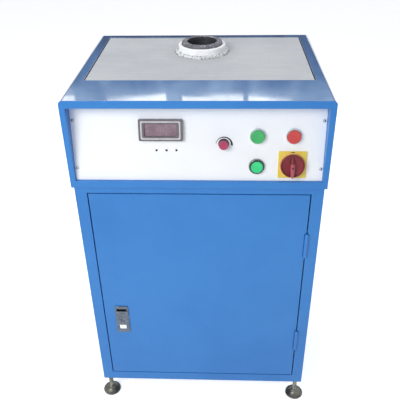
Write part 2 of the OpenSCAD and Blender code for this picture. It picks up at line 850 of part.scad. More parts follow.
module isolator_plate() {
  color([0.90, 0.80, 0.35]) on_panel(stop_x, isolator_up) difference() {
    linear_extrude(2.5) rounded(plate_side, plate_side, 2);
    translate([0, 0, -1]) cylinder(r = 6, h = 5);
  }
}

module isolator_handle() {
  base = 2.5 + move_gap;
  rim = base + 8;
  grip_w = 10;
  color([0.55, 0.16, 0.17]) on_panel(stop_x, isolator_up) {
    translate([0, 0, base]) cylinder(r1 = handle_r - 6, r2 = handle_r, h = 8);
    translate([0, 0, rim]) cylinder(r = handle_r, h = 1.5);
    translate([0, 0, rim + 1.5]) cylinder(r1 = handle_r, r2 = handle_r - 2, h = 1.5);
    // grip points down the panel
    translate([-grip_w / 2, -grip_half, base + 2]) cube([grip_w, 2 * grip_half - 8, grip_h - base - 2]);
    // square-ended shaft into the switch
    translate([0, 0, -20]) cylinder(r = 5, h = 24);
  }
}

module crucible() {
  color([0.36, 0.36, 0.38]) translate([0, crucible_y, crucible_z]) difference() {
    union() {
      cylinder(r = crucible_r, h = crucible_h - 1.5);
      translate([0, 0, crucible_h - 1.5]) cylinder(r1 = crucible_r, r2 = crucible_r - 1.5, h = 1.5);
    }
    translate([0, 0, crucible_base]) cylinder(r = cavity_r, h = crucible_h);
    translate([0, 0, crucible_h - 2]) cylinder(r1 = cavity_r, r2 = cavity_r + 2.2, h = 2.2);
  }
}

// Upright ring
module ring(r_in, r_out, lo, hi) {
  translate([0, crucible_y, lo]) difference() {
    cylinder(r = r_out, h = hi - lo);
    translate([0, 0, -1]) cylinder(r = r_in, h = hi - lo + 2);
  }
}

module fibre_collar() {
  color(white) ring(collar_in, collar_out, board_low - move_gap, head_top + collar_rise);
}

module fibre_packing() {
  inner = collar_out + 0.2;
  color([0.88, 0.89, 0.88]) translate([0, crucible_y, board_top]) rotate_extrude()
    polygon([[inner, 0], [inner + packing_w, 0], [inner + packing_w - 1.5, packing_rise * 0.5],
      [inner + packing_w * 0.55, packing_rise * 0.9], [inner, packing_rise]]);
}

module refractory_liner() {
  color([0.90, 0.86, 0.78]) ring(liner_in, liner_out, crucible_z, board_low - move_gap);
}

module base_brick() {
  color([0.86, 0.80, 0.68]) translate([0, crucible_y, deck_z]) cylinder(r = brick_r, h = crucible_z - deck_z);
}

coil_top = coil_z + coil_turns * coil_pitch;
post_w = 16;

module coil_posts() {
  inner = coil_r + tube_r + move_gap;
  color([0.80, 0.74, 0.55]) for (angle = [90, 200, 340])
    translate([0, crucible_y, deck_z]) rotate([0, 0, angle])
      translate([inner, -post_w / 2, 0]) cube([12, post_w, coil_top + tube_r + 4 - deck_z]);
}

// One lead: straight out of the coil at side, then bent down to the copper bar
function lead(side, z) = [
  for (a = [0:15:90]) [side * (lead_straight + lead_bend * sin(a)), -coil_r, z - lead_bend * (1 - cos(a))],
  [side * lead_x, -coil_r, bar_top]];
function turn_point(k) = [coil_r * cos(k * 15 - 90), coil_r * sin(k * 15 - 90), coil_z + coil_pitch * k / 24];
low_lead = lead(-1, coil_z);
coil_path = concat([for (k = [len(low_lead) - 1:-1:0]) low_lead[k]],
  [for (k = [0:24 * coil_turns]) turn_point(k)], lead(1, coil_top));
// Which way is outwards at each point of the path: constant along the leads
low_count = len(low_lead);
turn_count = 24 * coil_turns + 1;
function outward(i) = let (k = min(max(i - low_count, 0), turn_count - 1))
  [cos(k * 15 - 90), sin(k * 15 - 90), 0];
function unit(v) = v / norm(v);
function along(i) = unit(coil_path[min(i + 1, len(coil_path) - 1)] - coil_path[max(i - 1, 0)]);
ring_sides = 8;
coil_points = [for (i = [0:len(coil_path) - 1], s = [0:ring_sides - 1])
  let (a = 360 * s / ring_sides, n = unit(outward(i) - along(i) * (outward(i) * along(i))),
    b = cross(along(i), n))
    coil_path[i] + tube_r * (cos(a) * n + sin(a) * b)];
coil_faces = concat([[for (s = [0:ring_sides - 1]) s]],
  [[for (s = [ring_sides - 1:-1:0]) (len(coil_path) - 1) * ring_sides + s]],
  [for (i = [0:len(coil_path) - 2], s = [0:ring_sides - 1], half = [0, 1])
    let (a = i * ring_sides + s, b = i * ring_sides + (s + 1) % ring_sides)
      half == 0 ? [a, a + ring_sides, b] : [b, a + ring_sides, b + ring_sides]]);
// Least gap between turns and leads that aren't neighbours along the tube
coil_gap = min([for (i = [0:2:len(coil_path) - 1], j = [i + 12:1:len(coil_path) - 1])
  norm(coil_path[i] - coil_path[j])]) - 2 * tube_r;

module induction_coil() {
  echo(least_coil_gap = coil_gap);
  color(copper) translate([0, crucible_y, 0]) polyhedron(coil_points, coil_faces, convexity = 10);
}

module output_transformer() {
  core_half = lead_x + 15;
  core_h = 104;
  winding_half = 18;
  winding_x = core_half / 2;
  bar_half = hose_r + 3.5;
  top = deck_z - sheet;
  front = lead_y + 14;
  color(dark) {
    span([-core_half, front, top - core_h], [core_half, plate_y - 4, top]);
    for (x = [-winding_x, winding_x])
      span([x - winding_half, front - 6, top - core_h + 14], [x + winding_half, front + 1, top - core_h / 2]);
  }
  // copper bars that take the coil's leads
  color(copper) for (x = [-lead_x, lead_x])
    span([x - bar_half, lead_y - bar_half, bar_top - bar_h], [x + bar_half, front, bar_top]);
}

module capacitor_bank() {
  can_r = 32;
  can_h = 118;
  stud_h = 12;
  can_y = plate_y - can_r - 18;
  low = deck_z - sheet - can_h - stud_h;
  can_xs = [lead_x + 52, lead_x + 122];
  color(dark) for (x = can_xs) translate([x, can_y, low]) {
    cylinder(r = can_r, h = can_h);
    cylinder(r = 10, h = can_h + stud_h);
  }
  color(copper) span([can_xs[0] - 10, can_y - 6, low - 4], [can_xs[1] + 10, can_y + 6, low]);
}

module mounting_plate() {
  color(steel) difference() {
    union() {
      span([-plate_half, plate_y, floor_top], [plate_half, plate_y + plate_t, deck_z - sheet]);
      span([-plate_half, plate_y, floor_top], [plate_half, plate_y + flange, floor_top + plate_t]);
    }
    for (x = [-lead_x, lead_x]) bar_y(x, hose_z, hose_r + 1.5, plate_y - 1, plate_y + plate_t + 1);
    // hole that the supply cable passes through
    bar_y(gland_x - 10, gland_z + 30, 14, plate_y - 1, plate_y + plate_t + 1);
  }
}

module heat_sink() {
  base_t = 10;
  fin_t = 3;
  fin_count = 11;
  fin_pitch = (sink_w - fin_t) / (fin_count - 1);
  module_half = 31;
  left = fan_x - sink_w / 2;
  fin_low = sink_low + sink_h / 3;
  color(steel) {
    span([left, plate_y - base_t, sink_low], [left + sink_w, plate_y, sink_low + sink_h]);
    for (k = [0:fin_count - 1])
      span([left + fin_pitch * k, plate_y - sink_d, fin_low],
        [left + fin_pitch * k + fin_t, plate_y - base_t + 1, sink_low + sink_h]);
    // power modules on the flat part
    for (x = [fan_x - sink_w / 4, fan_x + sink_w / 4])
      span([x - module_half, plate_y - base_t - 28, sink_low + 8],
        [x + module_half, plate_y - base_t + 1, fin_low - 8]);
  }
}

module control_board() {
  board_thick = 1.6;
  board_w = 145;
  board_h = 170;
  stand = 12;
  left = plate_half - board_w - 10;
  face = plate_y - stand - 1;
  color(board_green) {
    span([left, plate_y - stand - board_thick, sink_low],
      [left + board_w, plate_y - stand, sink_low + board_h]);
    for (x = [left + 8, left + board_w - 8], z = [sink_low + 8, sink_low + board_h - 8])
      bar_y(x, z, 4, face, plate_y);
    // relays and round capacitors
    for (k = [0:3])
      span([left + 15 + 32 * k, face - 19, sink_low + 20], [left + 37 + 32 * k, face, sink_low + 48]);
    for (k = [0:2]) bar_y(left + 30 + 36 * k, sink_low + board_h - 50, 11, face - 31, face);
  }
}

module contactor() {
  low = cab_z + 100;
  high = low + 95;
  half = 40;
  x = fan_x - 25;
  block_x = plate_half - 80;
  color(cream) {
    span([x - half, plate_y - 12, low], [x + half, plate_y, high]);
    span([x - half + 5, plate_y - 62, low + 8], [x + half - 5, plate_y - 11, high - 8]);
    span([x - half + 17, plate_y - 82, low + 26], [x + half - 17, plate_y - 61, high - 26]);
    // terminal block beside it
    span([block_x - 60, plate_y - 40, low], [block_x + 60, plate_y, low + 34]);
  }
}

module fan_frame() {
  half = fan_side / 2;
  y0 = cover_y - fan_depth;
  color(black) difference() {
    union() {
      difference() {
        span([fan_x - half, y0, fan_z - half], [fan_x + half, cover_y, fan_z + half]);
        bar_y(fan_x, fan_z, fan_bore, y0 - 1, cover_y + 1);
      }
      bar_y(fan_x, fan_z, hub_r - 2, y0, y0 + 5);
      for (a = [45, 135]) translate([fan_x, y0 + 2.5, fan_z]) rotate([0, a, 0])
        cube([2 * fan_bore + 2, 3, 7], center = true);
    }
    bar_y(fan_x, fan_z, 3 + run_fit, y0 - 1, y0 + 6);
  }
}

module fan_rotor() {
  y0 = cover_y - fan_depth;
  root_r = hub_r - 1;
  tip_r = fan_bore - 2.5;
  color([0.16, 0.16, 0.17]) {
    bar_y(fan_x, fan_z, 3, y0 + 0.5, y0 + 8);
    bar_y(fan_x, fan_z, hub_r, y0 + 5.5, cover_y - 3);
    for (k = [0:fan_blades - 1]) translate([fan_x, (y0 + cover_y) / 2 + 1, fan_z])
      rotate([0, 360 * k / fan_blades, 0]) translate([(root_r + tip_r) / 2, 0, 0]) rotate([40, 0, 0])
        cube([tip_r - root_r, 2.5, 26], center = true);
  }
}

module water_hoses() {
  bend = 40;
  top = bar_top - bar_h;
  color([0.75, 0.30, 0.22]) for (x = [-lead_x, lead_x]) {
    translate([x, lead_y, hose_z + bend]) cylinder(r = hose_r, h = top - hose_z - bend);
    translate([x, lead_y + bend, hose_z + bend]) rotate([90, 0, -90]) rotate([0, 0, -90])
      rotate_extrude(angle = 90) translate([bend, 0]) circle(hose_r);
    bar_y(x, hose_z, hose_r, lead_y + bend, cover_y - 22);
  }
}

module water_fittings() {
  tip_len = 4;
  color(brass) for (x = [-lead_x, lead_x]) {
    bar_y(x, hose_z, tail_r, cover_y - 22, cover_out + tail_len - tip_len);
    translate([x, cover_out + tail_len - tip_len, hose_z]) rotate([-90, 0, 0])
      cylinder(r1 = tail_r, r2 = tail_r - 1.2, h = tip_len);
    bar_y(x, hose_z, tail_r + 1.9, cover_y - 6, cover_out + 1);
    translate([x, cover_out + 7, hose_z]) rotate([90, 0, 0]) cylinder(r = tail_r + 5.5, h = 7, $fn = 6);
    translate([x, cover_y, hose_z]) rotate([90, 0, 0]) cylinder(r = tail_r + 5.5, h = 5, $fn = 6);
  }
  // earth stud with its nut
  color(brass) {
    bar_y(stud_x, gland_z, stud_r, cover_y - 8, cover_out + 22);
    bar_y(stud_x, gland_z, 8, cover_out, cover_out + 5);
    bar_y(stud_x, gland_z, 7, cover_y - 5, cover_y);
  }
}

module cable_gland() {
  color(black) difference() {
    union() {
      bar_y(gland_x, gland_z, gland_r + 3.8, cover_y - 12, cover_out + 1);
      translate([gland_x, cover_out + 6, gland_z]) rotate([90, 0, 0])
        cylinder(r = gland_r + 8, h = 6, $fn = 6);
      bar_y(gland_x, gland_z, gland_r + 6.5, cover_out + 5, cover_out + 20);
      translate([gland_x, cover_y, gland_z]) rotate([90, 0, 0])
        cylinder(r = gland_r + 8, h = 5, $fn = 6);
    }
    bar_y(gland_x, gland_z, gland_r, cover_y - 13, cover_out + 21);
  }
}

face_frame();
side_panel(-1);  // left_side_panel
side_panel(1);  // right_side_panel
floor_plate();
deck_plate();
rear_cover();
rear_cover_screws();
foot_nuts();
foot(-foot_x, foot_front);  // foot_front_left
foot(foot_x, foot_front);  // foot_front_right
foot(-foot_x, foot_rear);  // foot_rear_left
foot(foot_x, foot_rear);  // foot_rear_right
hinge_lower_halves();
hinge_pins();
hinge_upper_halves();
door_panel();
latch_housing();
latch_paddle();
latch_push_button();
latch_key_cylinder();
latch_tongue();
head_front_frame();
head_side_panel(-1);  // head_left_panel
head_side_panel(1);  // head_right_panel
head_back_panel();
top_frame();
board_ledge();
insulation_board();
control_panel();
panel_screws();
meter_bezel();
meter_window();
indicator_lamps();
power_knob();
potentiometer();
button_rings();
button(button_places[0], green, cap_proud);  // start_button
button(button_places[1], red, cap_proud);  // stop_button
button(button_places[2], bright_green, lit_proud);  // lit_button
switch_bodies();
isolator_plate();
isolator_handle();
crucible();
fibre_collar();
fibre_packing();
refractory_liner();
base_brick();
coil_posts();
induction_coil();
output_transformer();
capacitor_bank();
mounting_plate();
heat_sink();
control_board();
contactor();
fan_frame();
fan_rotor();
water_hoses();
water_fittings();
cable_gland();
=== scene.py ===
"""An induction melting furnace for small lots of gold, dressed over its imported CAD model.

Everything is in metres, in the model's own frame: the floor is z = 0 and the front faces -Y.
The sections follow the order in which the real furnace is put together.
"""

import json
import math
import random

import bmesh
import bpy
from mathutils import Matrix, Vector, noise


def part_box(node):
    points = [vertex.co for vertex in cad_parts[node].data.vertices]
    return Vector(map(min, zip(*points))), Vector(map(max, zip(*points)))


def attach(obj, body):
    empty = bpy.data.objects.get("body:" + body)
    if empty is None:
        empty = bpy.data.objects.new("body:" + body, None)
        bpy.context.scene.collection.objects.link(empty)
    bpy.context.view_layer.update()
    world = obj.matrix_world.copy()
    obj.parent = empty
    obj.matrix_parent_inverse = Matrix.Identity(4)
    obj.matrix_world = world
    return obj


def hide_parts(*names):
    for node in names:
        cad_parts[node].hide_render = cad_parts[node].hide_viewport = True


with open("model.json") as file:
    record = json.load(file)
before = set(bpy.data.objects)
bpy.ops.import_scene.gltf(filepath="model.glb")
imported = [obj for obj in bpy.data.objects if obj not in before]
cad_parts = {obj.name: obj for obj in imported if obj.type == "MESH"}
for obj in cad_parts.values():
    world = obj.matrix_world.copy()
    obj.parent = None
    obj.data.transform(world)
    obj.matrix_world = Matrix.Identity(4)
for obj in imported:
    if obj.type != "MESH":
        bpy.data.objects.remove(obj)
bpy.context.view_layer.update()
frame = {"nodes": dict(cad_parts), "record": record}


# Camera and room
# The photograph was taken from standing height, a step back and a little to the right of the middle.
# The room is a white one, with soft daylight from the left and bright windows high behind the furnace.
scene = bpy.context.scene
HEAD_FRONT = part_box("head_front_frame")[0].y
CAMERA_PLACE = Vector((0.0554, HEAD_FRONT - 1.0699, 1.3611))
CAMERA_PITCH = math.radians(32.29)
CAMERA_YAW = math.radians(-2.76)
CAMERA_ROLL = math.radians(1.04)
CAMERA_LENS = 49.78
ROOM_COLOUR = (0.90, 0.95, 1.0, 1)
ROOM_LEVEL = 0.40


def srgb(red, green, blue):
    """A colour as it is seen, from 0 to 255, turned into the linear one that shaders take."""
    seen = [value / 255 for value in (red, green, blue)]
    return tuple(v / 12.92 if v <= 0.04045 else ((v + 0.055) / 1.055) ** 2.4 for v in seen) + (1.0,)


def aim_camera():
    ahead = Vector((
        math.sin(CAMERA_YAW) * math.cos(CAMERA_PITCH),
        math.cos(CAMERA_YAW) * math.cos(CAMERA_PITCH),
        -math.sin(CAMERA_PITCH),
    ))
    right = Vector((math.cos(CAMERA_YAW), -math.sin(CAMERA_YAW), 0))
    down = ahead.cross(right)
    turned_right = math.cos(CAMERA_ROLL) * right + math.sin(CAMERA_ROLL) * down
    turned_down = math.cos(CAMERA_ROLL) * down - math.sin(CAMERA_ROLL) * right
    data = bpy.data.cameras.new("camera")
    data.lens = CAMERA_LENS
    data.clip_end = 50
    camera = bpy.data.objects.new("camera", data)
    scene.collection.objects.link(camera)
    turn = Matrix((turned_right, -turned_down, -ahead)).transposed().to_4x4()
    camera.matrix_world = Matrix.Translation(CAMERA_PLACE) @ turn
    scene.camera = camera


def lamp(name, place, target, size, power, color=(1, 1, 1), mirrored=True):
    data = bpy.data.lights.new(name, "AREA")
    data.size = size
    data.energy = power
    data.color = color
    light = bpy.data.objects.new(name, data)
    light.location = place
    light.rotation_mode = "QUATERNION"
    light.rotation_quaternion = (Vector(target) - Vector(place)).to_track_quat("-Z", "Y")
    light.visible_glossy = mirrored
    scene.collection.objects.link(light)


class Wiring:
    """Adds nodes to a tree and joins them, so that an effect reads from top to bottom."""

    def __init__(self, tree):
        self.tree = tree

    def put(self, kind, settings=None, **inputs):
        node = self.tree.nodes.new("ShaderNode" + kind)
        for key, value in (settings or {}).items():
            setattr(node, key, value)
        for key, value in inputs.items():
            self.give(node.inputs[key.replace("_", " ")], value)
        return node

    def give(self, socket, value):
        if isinstance(value, bpy.types.NodeSocket):
            self.tree.links.new(value, socket)
        else:
            socket.default_value = value

    def math(self, operation, first, second=0.0):
        node = self.put("Math", {"operation": operation})
        self.give(node.inputs[0], first)
        self.give(node.inputs[1], second)
        return node.outputs[0]

    def mix(self, factor, first, second):
        node = self.put("Mix", {"data_type": "RGBA"})
        for index, value in ((0, factor), (6, first), (7, second)):
            self.give(node.inputs[index], value)
        return node.outputs[2]

    def remap(self, value, low, high, new_low=0.0, new_high=1.0):
        node = self.put("MapRange")
        for index, entry in enumerate((value, low, high, new_low, new_high)):
            self.give(node.inputs[index], entry)
        return node.outputs[0]

    def background_rays(self):
        """One for a ray from the camera, a mirror or a pane, and none for light on the object."""
        path = self.put("LightPath").outputs
        direct = self.math("MAXIMUM", path["Is Camera Ray"], path["Is Glossy Ray"])
        return self.math("MAXIMUM", direct, path["Is Transmission Ray"])


def light_room():
    world = bpy.data.worlds.new("room")
    world.use_nodes = True
    world.node_tree.nodes.clear()
    w = Wiring(world.node_tree)
    seen = w.put("Background", Color=(1, 1, 1, 1), Strength=1.0)
    glow = w.put("Background", Color=ROOM_COLOUR, Strength=ROOM_LEVEL)
    mix = w.put("MixShader")
    w.give(mix.inputs[0], w.background_rays())
    w.give(mix.inputs[1], glow.outputs[0])
    w.give(mix.inputs[2], seen.outputs[0])
    w.put("OutputWorld", Surface=mix.outputs[0])
    scene.world = world
    lamp("daylight_left", (-1.35, -2.0, 2.0), (0, 0, 0.5), size=1.3, power=44, color=(1.0, 0.98, 0.95))
    lamp("daylight_right", (2.3, -1.6, 1.6), (0, 0, 0.4), size=1.4, power=2.5, color=(0.92, 0.95, 1.0))
    lamp("ceiling", (0.2, 0.4, 3.2), (0, 0, 0.6), size=2.0, power=20, mirrored=False)
    lamp("behind", (1.2, 2.4, 1.6), (0, 0, 0.6), size=1.4, power=14, mirrored=False)


# What the polished top mirrors is a dim wall low down, which pales upwards to the window sills. Each
# window is given by its left and right edges and by the height of its sill at each.
WALL_Y = HEAD_FRONT + 3.544
WALL_LOW = 1.72
WALL_PALES_FROM = 1.80
WALL_PALE_AT = 2.42
WINDOWS = (
    (-1.75, -1.27, 2.28, 2.30), (-0.98, -0.45, 2.35, 2.30),
    (-0.31, 0.235, 2.315, 2.31), (0.28, 0.66, 2.32, 2.35),
)
WINDOW_TOP = 2.9


def card(name, left, right, low, low_right, high, near=0.0):
    """An upright card behind the furnace that only polished surfaces see."""
    mesh = bpy.data.meshes.new(name)
    corners = [(left, 0, low), (right, 0, low_right), (right, 0, high), (left, 0, high)]
    mesh.from_pydata(corners, [], [(0, 1, 2, 3)])
    piece = bpy.data.objects.new(name, mesh)
    piece.location.y = WALL_Y - near
    piece.visible_camera = False
    piece.visible_diffuse = False
    piece.visible_shadow = False
    scene.collection.objects.link(piece)
    mat = bpy.data.materials.new(name)
    mat.use_nodes = True
    mat.node_tree.nodes.clear()
    mesh.materials.append(mat)
    return Wiring(mat.node_tree)


def hang_cards():
    w = card("wall_card", -5, 5, WALL_LOW, WALL_LOW, WINDOW_TOP)
    place = w.put("TexCoord").outputs["Object"]
    drawn = w.put("Mapping", Vector=place, Scale=(1.6, 1, 0.7)).outputs[0]
    patch = w.put("TexNoise", Vector=drawn, Scale=2.2).outputs["Fac"]
    height = w.put("SeparateXYZ", Vector=place).outputs["Z"]
    uneven = w.math("MULTIPLY", w.math("SUBTRACT", patch, 0.5), 0.7)
    fade = w.remap(w.math("ADD", height, uneven), WALL_PALES_FROM, WALL_PALE_AT)
    ramp = w.put("ValToRGB", Fac=fade)
    ramp.color_ramp.elements[0].color = srgb(84, 98, 130)
    ramp.color_ramp.elements[1].color = srgb(186, 210, 238)
    ramp.color_ramp.elements.new(0.5).color = srgb(118, 150, 192)
    w.put("OutputMaterial", Surface=w.put("Emission", Color=ramp.outputs[0]).outputs[0])
    for index, (left, right, sill_left, sill_right) in enumerate(WINDOWS):
        w = card(f"window_card_{index}", left, right, sill_left, sill_right, WINDOW_TOP, 0.02)
        w.put("OutputMaterial", Surface=w.put("Emission", Strength=1.6).outputs[0])


scene.view_settings.view_transform = "Standard"
aim_camera()
light_room()
hang_cards()


# Casing
# The cabinet is folded from sheet steel and powder coated blue, so every outside edge is a small
# radius. Its floor and inner deck are plain zinc-plated sheet, screwed in from inside.
MM = 0.001
SHEET = 1.5 * MM
WELD = 0.01 * MM
NODES = frame["nodes"]
RECORD = frame["record"]
SLOT_OF = {row["node"]: row["material_slot"] for row in RECORD["subparts"]}
BODY_OF = {node: body for body, members in RECORD["behaviour"]["bodies"].items() for node in members}


def open_group(name, taken, put_out):
    """A node group with its named inputs and outputs, and the two ends to join inside it."""
    group = bpy.data.node_groups.new(name, "ShaderNodeTree")
    for label, kind, value in taken:
        socket = group.interface.new_socket(label, in_out="INPUT", socket_type="NodeSocket" + kind)
        socket.default_value = value
    for label, kind in put_out:
        group.interface.new_socket(label, in_out="OUTPUT", socket_type="NodeSocket" + kind)
    return group, group.nodes.new("NodeGroupInput").outputs, group.nodes.new("NodeGroupOutput").inputs


def make_skin():
    """Dirt, grain and edge wear for every finish, from the piece's own coordinates in metres."""
    group, given, result = open_group("skin", (
        ("Clean", "Color", (0.5, 0.5, 0.5, 1)),
        ("Stained", "Color", (0.4, 0.4, 0.4, 1)),
        ("Worn", "Color", (0.8, 0.8, 0.8, 1)),
        ("Stain Size", "Float", 6.0),
        ("Grain Size", "Float", 600.0),
        ("Stretch", "Vector", (1, 1, 1)),
        ("Edge Width", "Float", 0.0012),
        ("Wear", "Float", 0.5),
        ("Smooth", "Float", 0.3),
        ("Rough", "Float", 0.5),
    ), (("Colour", "Color"), ("Roughness", "Float"), ("Height", "Float")))
    w = Wiring(group)
    place = w.put("TexCoord").outputs["Object"]
    drawn = w.put("Mapping", Vector=place, Scale=given["Stretch"]).outputs[0]
    grain = w.put("TexNoise", Vector=drawn, Scale=given["Grain Size"], Detail=3.0).outputs["Fac"]
    stain = w.put("TexNoise", Vector=place, Scale=given["Stain Size"], Detail=6.0, Roughness=0.62)
    patch = w.remap(stain.outputs["Fac"], 0.42, 0.66)
    fine = w.put("TexNoise", Vector=place, Scale=90.0, Detail=4.0).outputs["Fac"]
    rounded = w.put("Bevel", {"samples": 4}, Radius=given["Edge Width"]).outputs[0]
    turned = w.put("VectorMath", {"operation": "DOT_PRODUCT"})
    w.give(turned.inputs[0], rounded)
    w.give(turned.inputs[1], w.put("NewGeometry").outputs["Normal"])
    edge = w.remap(w.math("SUBTRACT", 1.0, turned.outputs["Value"]), 0.02, 0.14)
    bare = w.math("MULTIPLY", w.math("MULTIPLY", edge, w.remap(fine, 0.42, 0.58)), given["Wear"])
    colour = w.mix(patch, given["Clean"], given["Stained"])
    speck = w.remap(grain, 0.3, 0.7, -0.03, 0.03)
    tinted = w.put("HueSaturation", Color=colour, Value=w.math("ADD", 1.0, speck)).outputs[0]
    w.give(result["Colour"], w.mix(bare, tinted, given["Worn"]))
    spread = w.math("ADD", w.math("MULTIPLY", patch, 0.6), w.math("MULTIPLY", fine, 0.4))
    w.give(result["Roughness"], w.remap(spread, 0, 1, given["Smooth"], given["Rough"]))
    w.give(result["Height"], grain)
    return group


SKIN = make_skin()


def finish(name, clean, stained=None, worn=None, stain_size=6.0, grain_size=600.0, stretch=(1, 1, 1),
           edge=1.2 * MM, wear=0.3, smooth=0.3, rough=0.45, bump=0.12, depth=0.05 * MM, metallic=0.0,
           coat=0.0, coat_rough=0.1, glow=None, glow_strength=0.0, wave=None):
    """A principled material whose colour, roughness and bump come from the skin group.

    Its colours are given as they are seen: clean, stained by use, and worn bare at the edges.
    """
    mat = bpy.data.materials.new(name)
    mat.use_nodes = True
    w = Wiring(mat.node_tree)
    shader = mat.node_tree.nodes["Principled BSDF"].inputs
    group = mat.node_tree.nodes.new("ShaderNodeGroup")
    group.node_tree = SKIN
    clean = srgb(*clean)
    stained = srgb(*stained) if stained else tuple(c * 0.86 for c in clean[:3]) + (1.0,)
    worn = srgb(*worn) if worn else tuple(min(1.0, c * 1.5 + 0.05) for c in clean[:3]) + (1.0,)
    for label, value in {"Clean": clean, "Stained": stained, "Worn": worn, "Stain Size": stain_size,
                         "Grain Size": grain_size, "Stretch": stretch, "Edge Width": edge, "Wear": wear,
                         "Smooth": smooth, "Rough": rough}.items():
        group.inputs[label].default_value = value
    normal = w.put("Bevel", {"samples": 4}, Radius=edge).outputs[0]
    if wave:
        swell = w.put("TexNoise", Vector=w.put("TexCoord").outputs["Object"], Scale=wave[0], Detail=1.0)
        normal = w.put("Bump", Height=swell.outputs["Fac"], Strength=1.0, Distance=wave[1],
                       Normal=normal).outputs[0]
    bumped = w.put("Bump", Height=group.outputs["Height"], Strength=bump, Distance=depth, Normal=normal)
    w.give(shader["Base Color"], group.outputs["Colour"])
    w.give(shader["Roughness"], group.outputs["Roughness"])
    w.give(shader["Normal"], bumped.outputs[0])
    shader["Metallic"].default_value = metallic
    shader["Coat Weight"].default_value = coat
    shader["Coat Roughness"].default_value = coat_rough
    if glow:
        shader["Emission Color"].default_value = glow
        shader["Emission Strength"].default_value = glow_strength
    return mat


BLUE = finish("blue_powder_coat", (40, 127, 205), (33, 118, 196), (150, 190, 225),
              stain_size=3.0, grain_size=520, bump=0.35, depth=0.04 * MM, smooth=0.32, rough=0.44,
              wear=0.35, coat=0.08, coat_rough=0.2, wave=(7, 0.25 * MM))
ZINC = finish("zinc_plated_sheet", (176, 182, 186), (150, 158, 166), (214, 216, 218),
              stain_size=24.0, grain_size=160, bump=0.15, smooth=0.28, rough=0.5, metallic=1.0)
FINISH_OF_SLOT = {"blue_paint": BLUE, "zinc_plate": ZINC}


def coat(*nodes):
    """CAD nodes that keep their own shape take the finish of their slot."""
    for node in nodes:
        mesh = NODES[node].data
        mesh.materials.clear()
        mesh.materials.append(FINISH_OF_SLOT[SLOT_OF[node]])


def ride_as(piece, node, replace=False):
    """The piece rides with the node's body, and may stand for it."""
    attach(piece, BODY_OF[node])
    if replace:
        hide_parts(node)
    return piece


def link_mesh(name, mesh, mat=None):
    piece = bpy.data.objects.new(name, mesh)
    scene.collection.objects.link(piece)
    if mat:
        mesh.materials.clear()
        mesh.materials.append(mat)
    return piece


def shade(mesh, angle=32):
    """Smooth faces that break at every edge sharper than the angle."""
    mesh.polygons.foreach_set("use_smooth", [True] * len(mesh.polygons))
    mesh.set_sharp_from_angle(angle=math.radians(angle))


def from_bmesh(name, shape, mat, angle=32):
    bmesh.ops.recalc_face_normals(shape, faces=shape.faces)
    mesh = bpy.data.meshes.new(name)
    shape.to_mesh(mesh)
    shape.free()
    shade(mesh, angle)
    return link_mesh(name, mesh, mat)


def welded(node):
    """A copy of a CAD node's mesh without its stored normals, and its shape with the seams closed."""
    mesh = NODES[node].data.copy()
    if "custom_normal" in mesh.attributes:
        mesh.attributes.remove(mesh.attributes["custom_normal"])
    shape = bmesh.new()
    shape.from_mesh(mesh)
    bmesh.ops.remove_doubles(shape, verts=shape.verts, dist=WELD)
    return mesh, shape


def softened(node, width, segments=2, merge=True):
    """A copy of a CAD node that stands for it, with its sharp edges rounded to a width in millimetres."""
    mesh, shape = welded(node)
    if merge:
        flat = math.radians(0.5)
        bmesh.ops.dissolve_limit(shape, angle_limit=flat, verts=shape.verts, edges=shape.edges)
    for edge in shape.edges:
        edge.smooth = True
    shape.to_mesh(mesh)
    shape.free()
    piece = link_mesh(node + "_dressed", mesh, FINISH_OF_SLOT[SLOT_OF[node]])
    bevel = piece.modifiers.new("edge", "BEVEL")
    bevel.width = width * MM
    bevel.segments = segments
    bevel.limit_method = "ANGLE"
    bevel.angle_limit = math.radians(30)
    bevel.miter_outer = "MITER_ARC"
    ready = piece.evaluated_get(bpy.context.evaluated_depsgraph_get())
    piece.data = bpy.data.meshes.new_from_object(ready)
    piece.modifiers.clear()
    shade(piece.data)
    piece.modifiers.new("flat faces", "WEIGHTED_NORMAL").keep_sharp = True
    return ride_as(piece, node, replace=True)


for casing_node in ("face_frame", "left_side_panel", "right_side_panel"):
    softened(casing_node, 0.7)
for casing_node in ("floor_plate", "deck_plate"):
    softened(casing_node, 0.4, 1)


# Door seal
# A black rubber strip is pressed round the rebate of the face frame, and its soft bulb keeps dust
# and splashes out when the door is shut.
DOOR_EDGE = 257.5 * MM
DOOR_LOW = 92.5 * MM
DOOR_HIGH = 698 * MM
SEAL_INSET = 4 * MM
SEAL_BULB = 1.5 * MM
SEAL_BEND = 6 * MM
SEAL_DEPTH = 20.4 * MM
RUBBER = finish("black_rubber", (34, 34, 35), (26, 26, 27), (70, 70, 70),
                stain_size=20.0, grain_size=500, bump=0.3, smooth=0.6, rough=0.8)


def stitch(shape, rings, closed=True):
    """Faces between each row of points and the next, whose two ends meet when it is closed."""
    for first, second in zip(rings, rings[1:]):
        for k in range(len(first) if closed else len(first) - 1):
            after = (k + 1) % len(first)
            shape.faces.new((first[k], first[after], second[after], second[k]))


def tube(name, points, radius, mat, sides=12, closed=False):
    """A round tube through the given points."""
    points = [Vector(point) for point in points]
    count = len(points)
    shape = bmesh.new()
    rings = []
    side = None
    for index, point in enumerate(points):
        before = points[index - 1] if index or closed else point
        after = points[(index + 1) % count] if index + 1 < count or closed else point
        ahead = (after - before).normalized()
        side = (side - ahead * side.dot(ahead)).normalized() if side else ahead.orthogonal().normalized()
        up = ahead.cross(side)
        angles = [2 * math.pi * k / sides for k in range(sides)]
        arms = [math.cos(a) * side + math.sin(a) * up for a in angles]
        rings.append([shape.verts.new(point + radius * arm) for arm in arms])
    stitch(shape, rings + rings[:1] if closed else rings)
    if not closed:
        shape.faces.new(rings[0])
        shape.faces.new(rings[-1])
    return from_bmesh(name, shape, mat, 60)


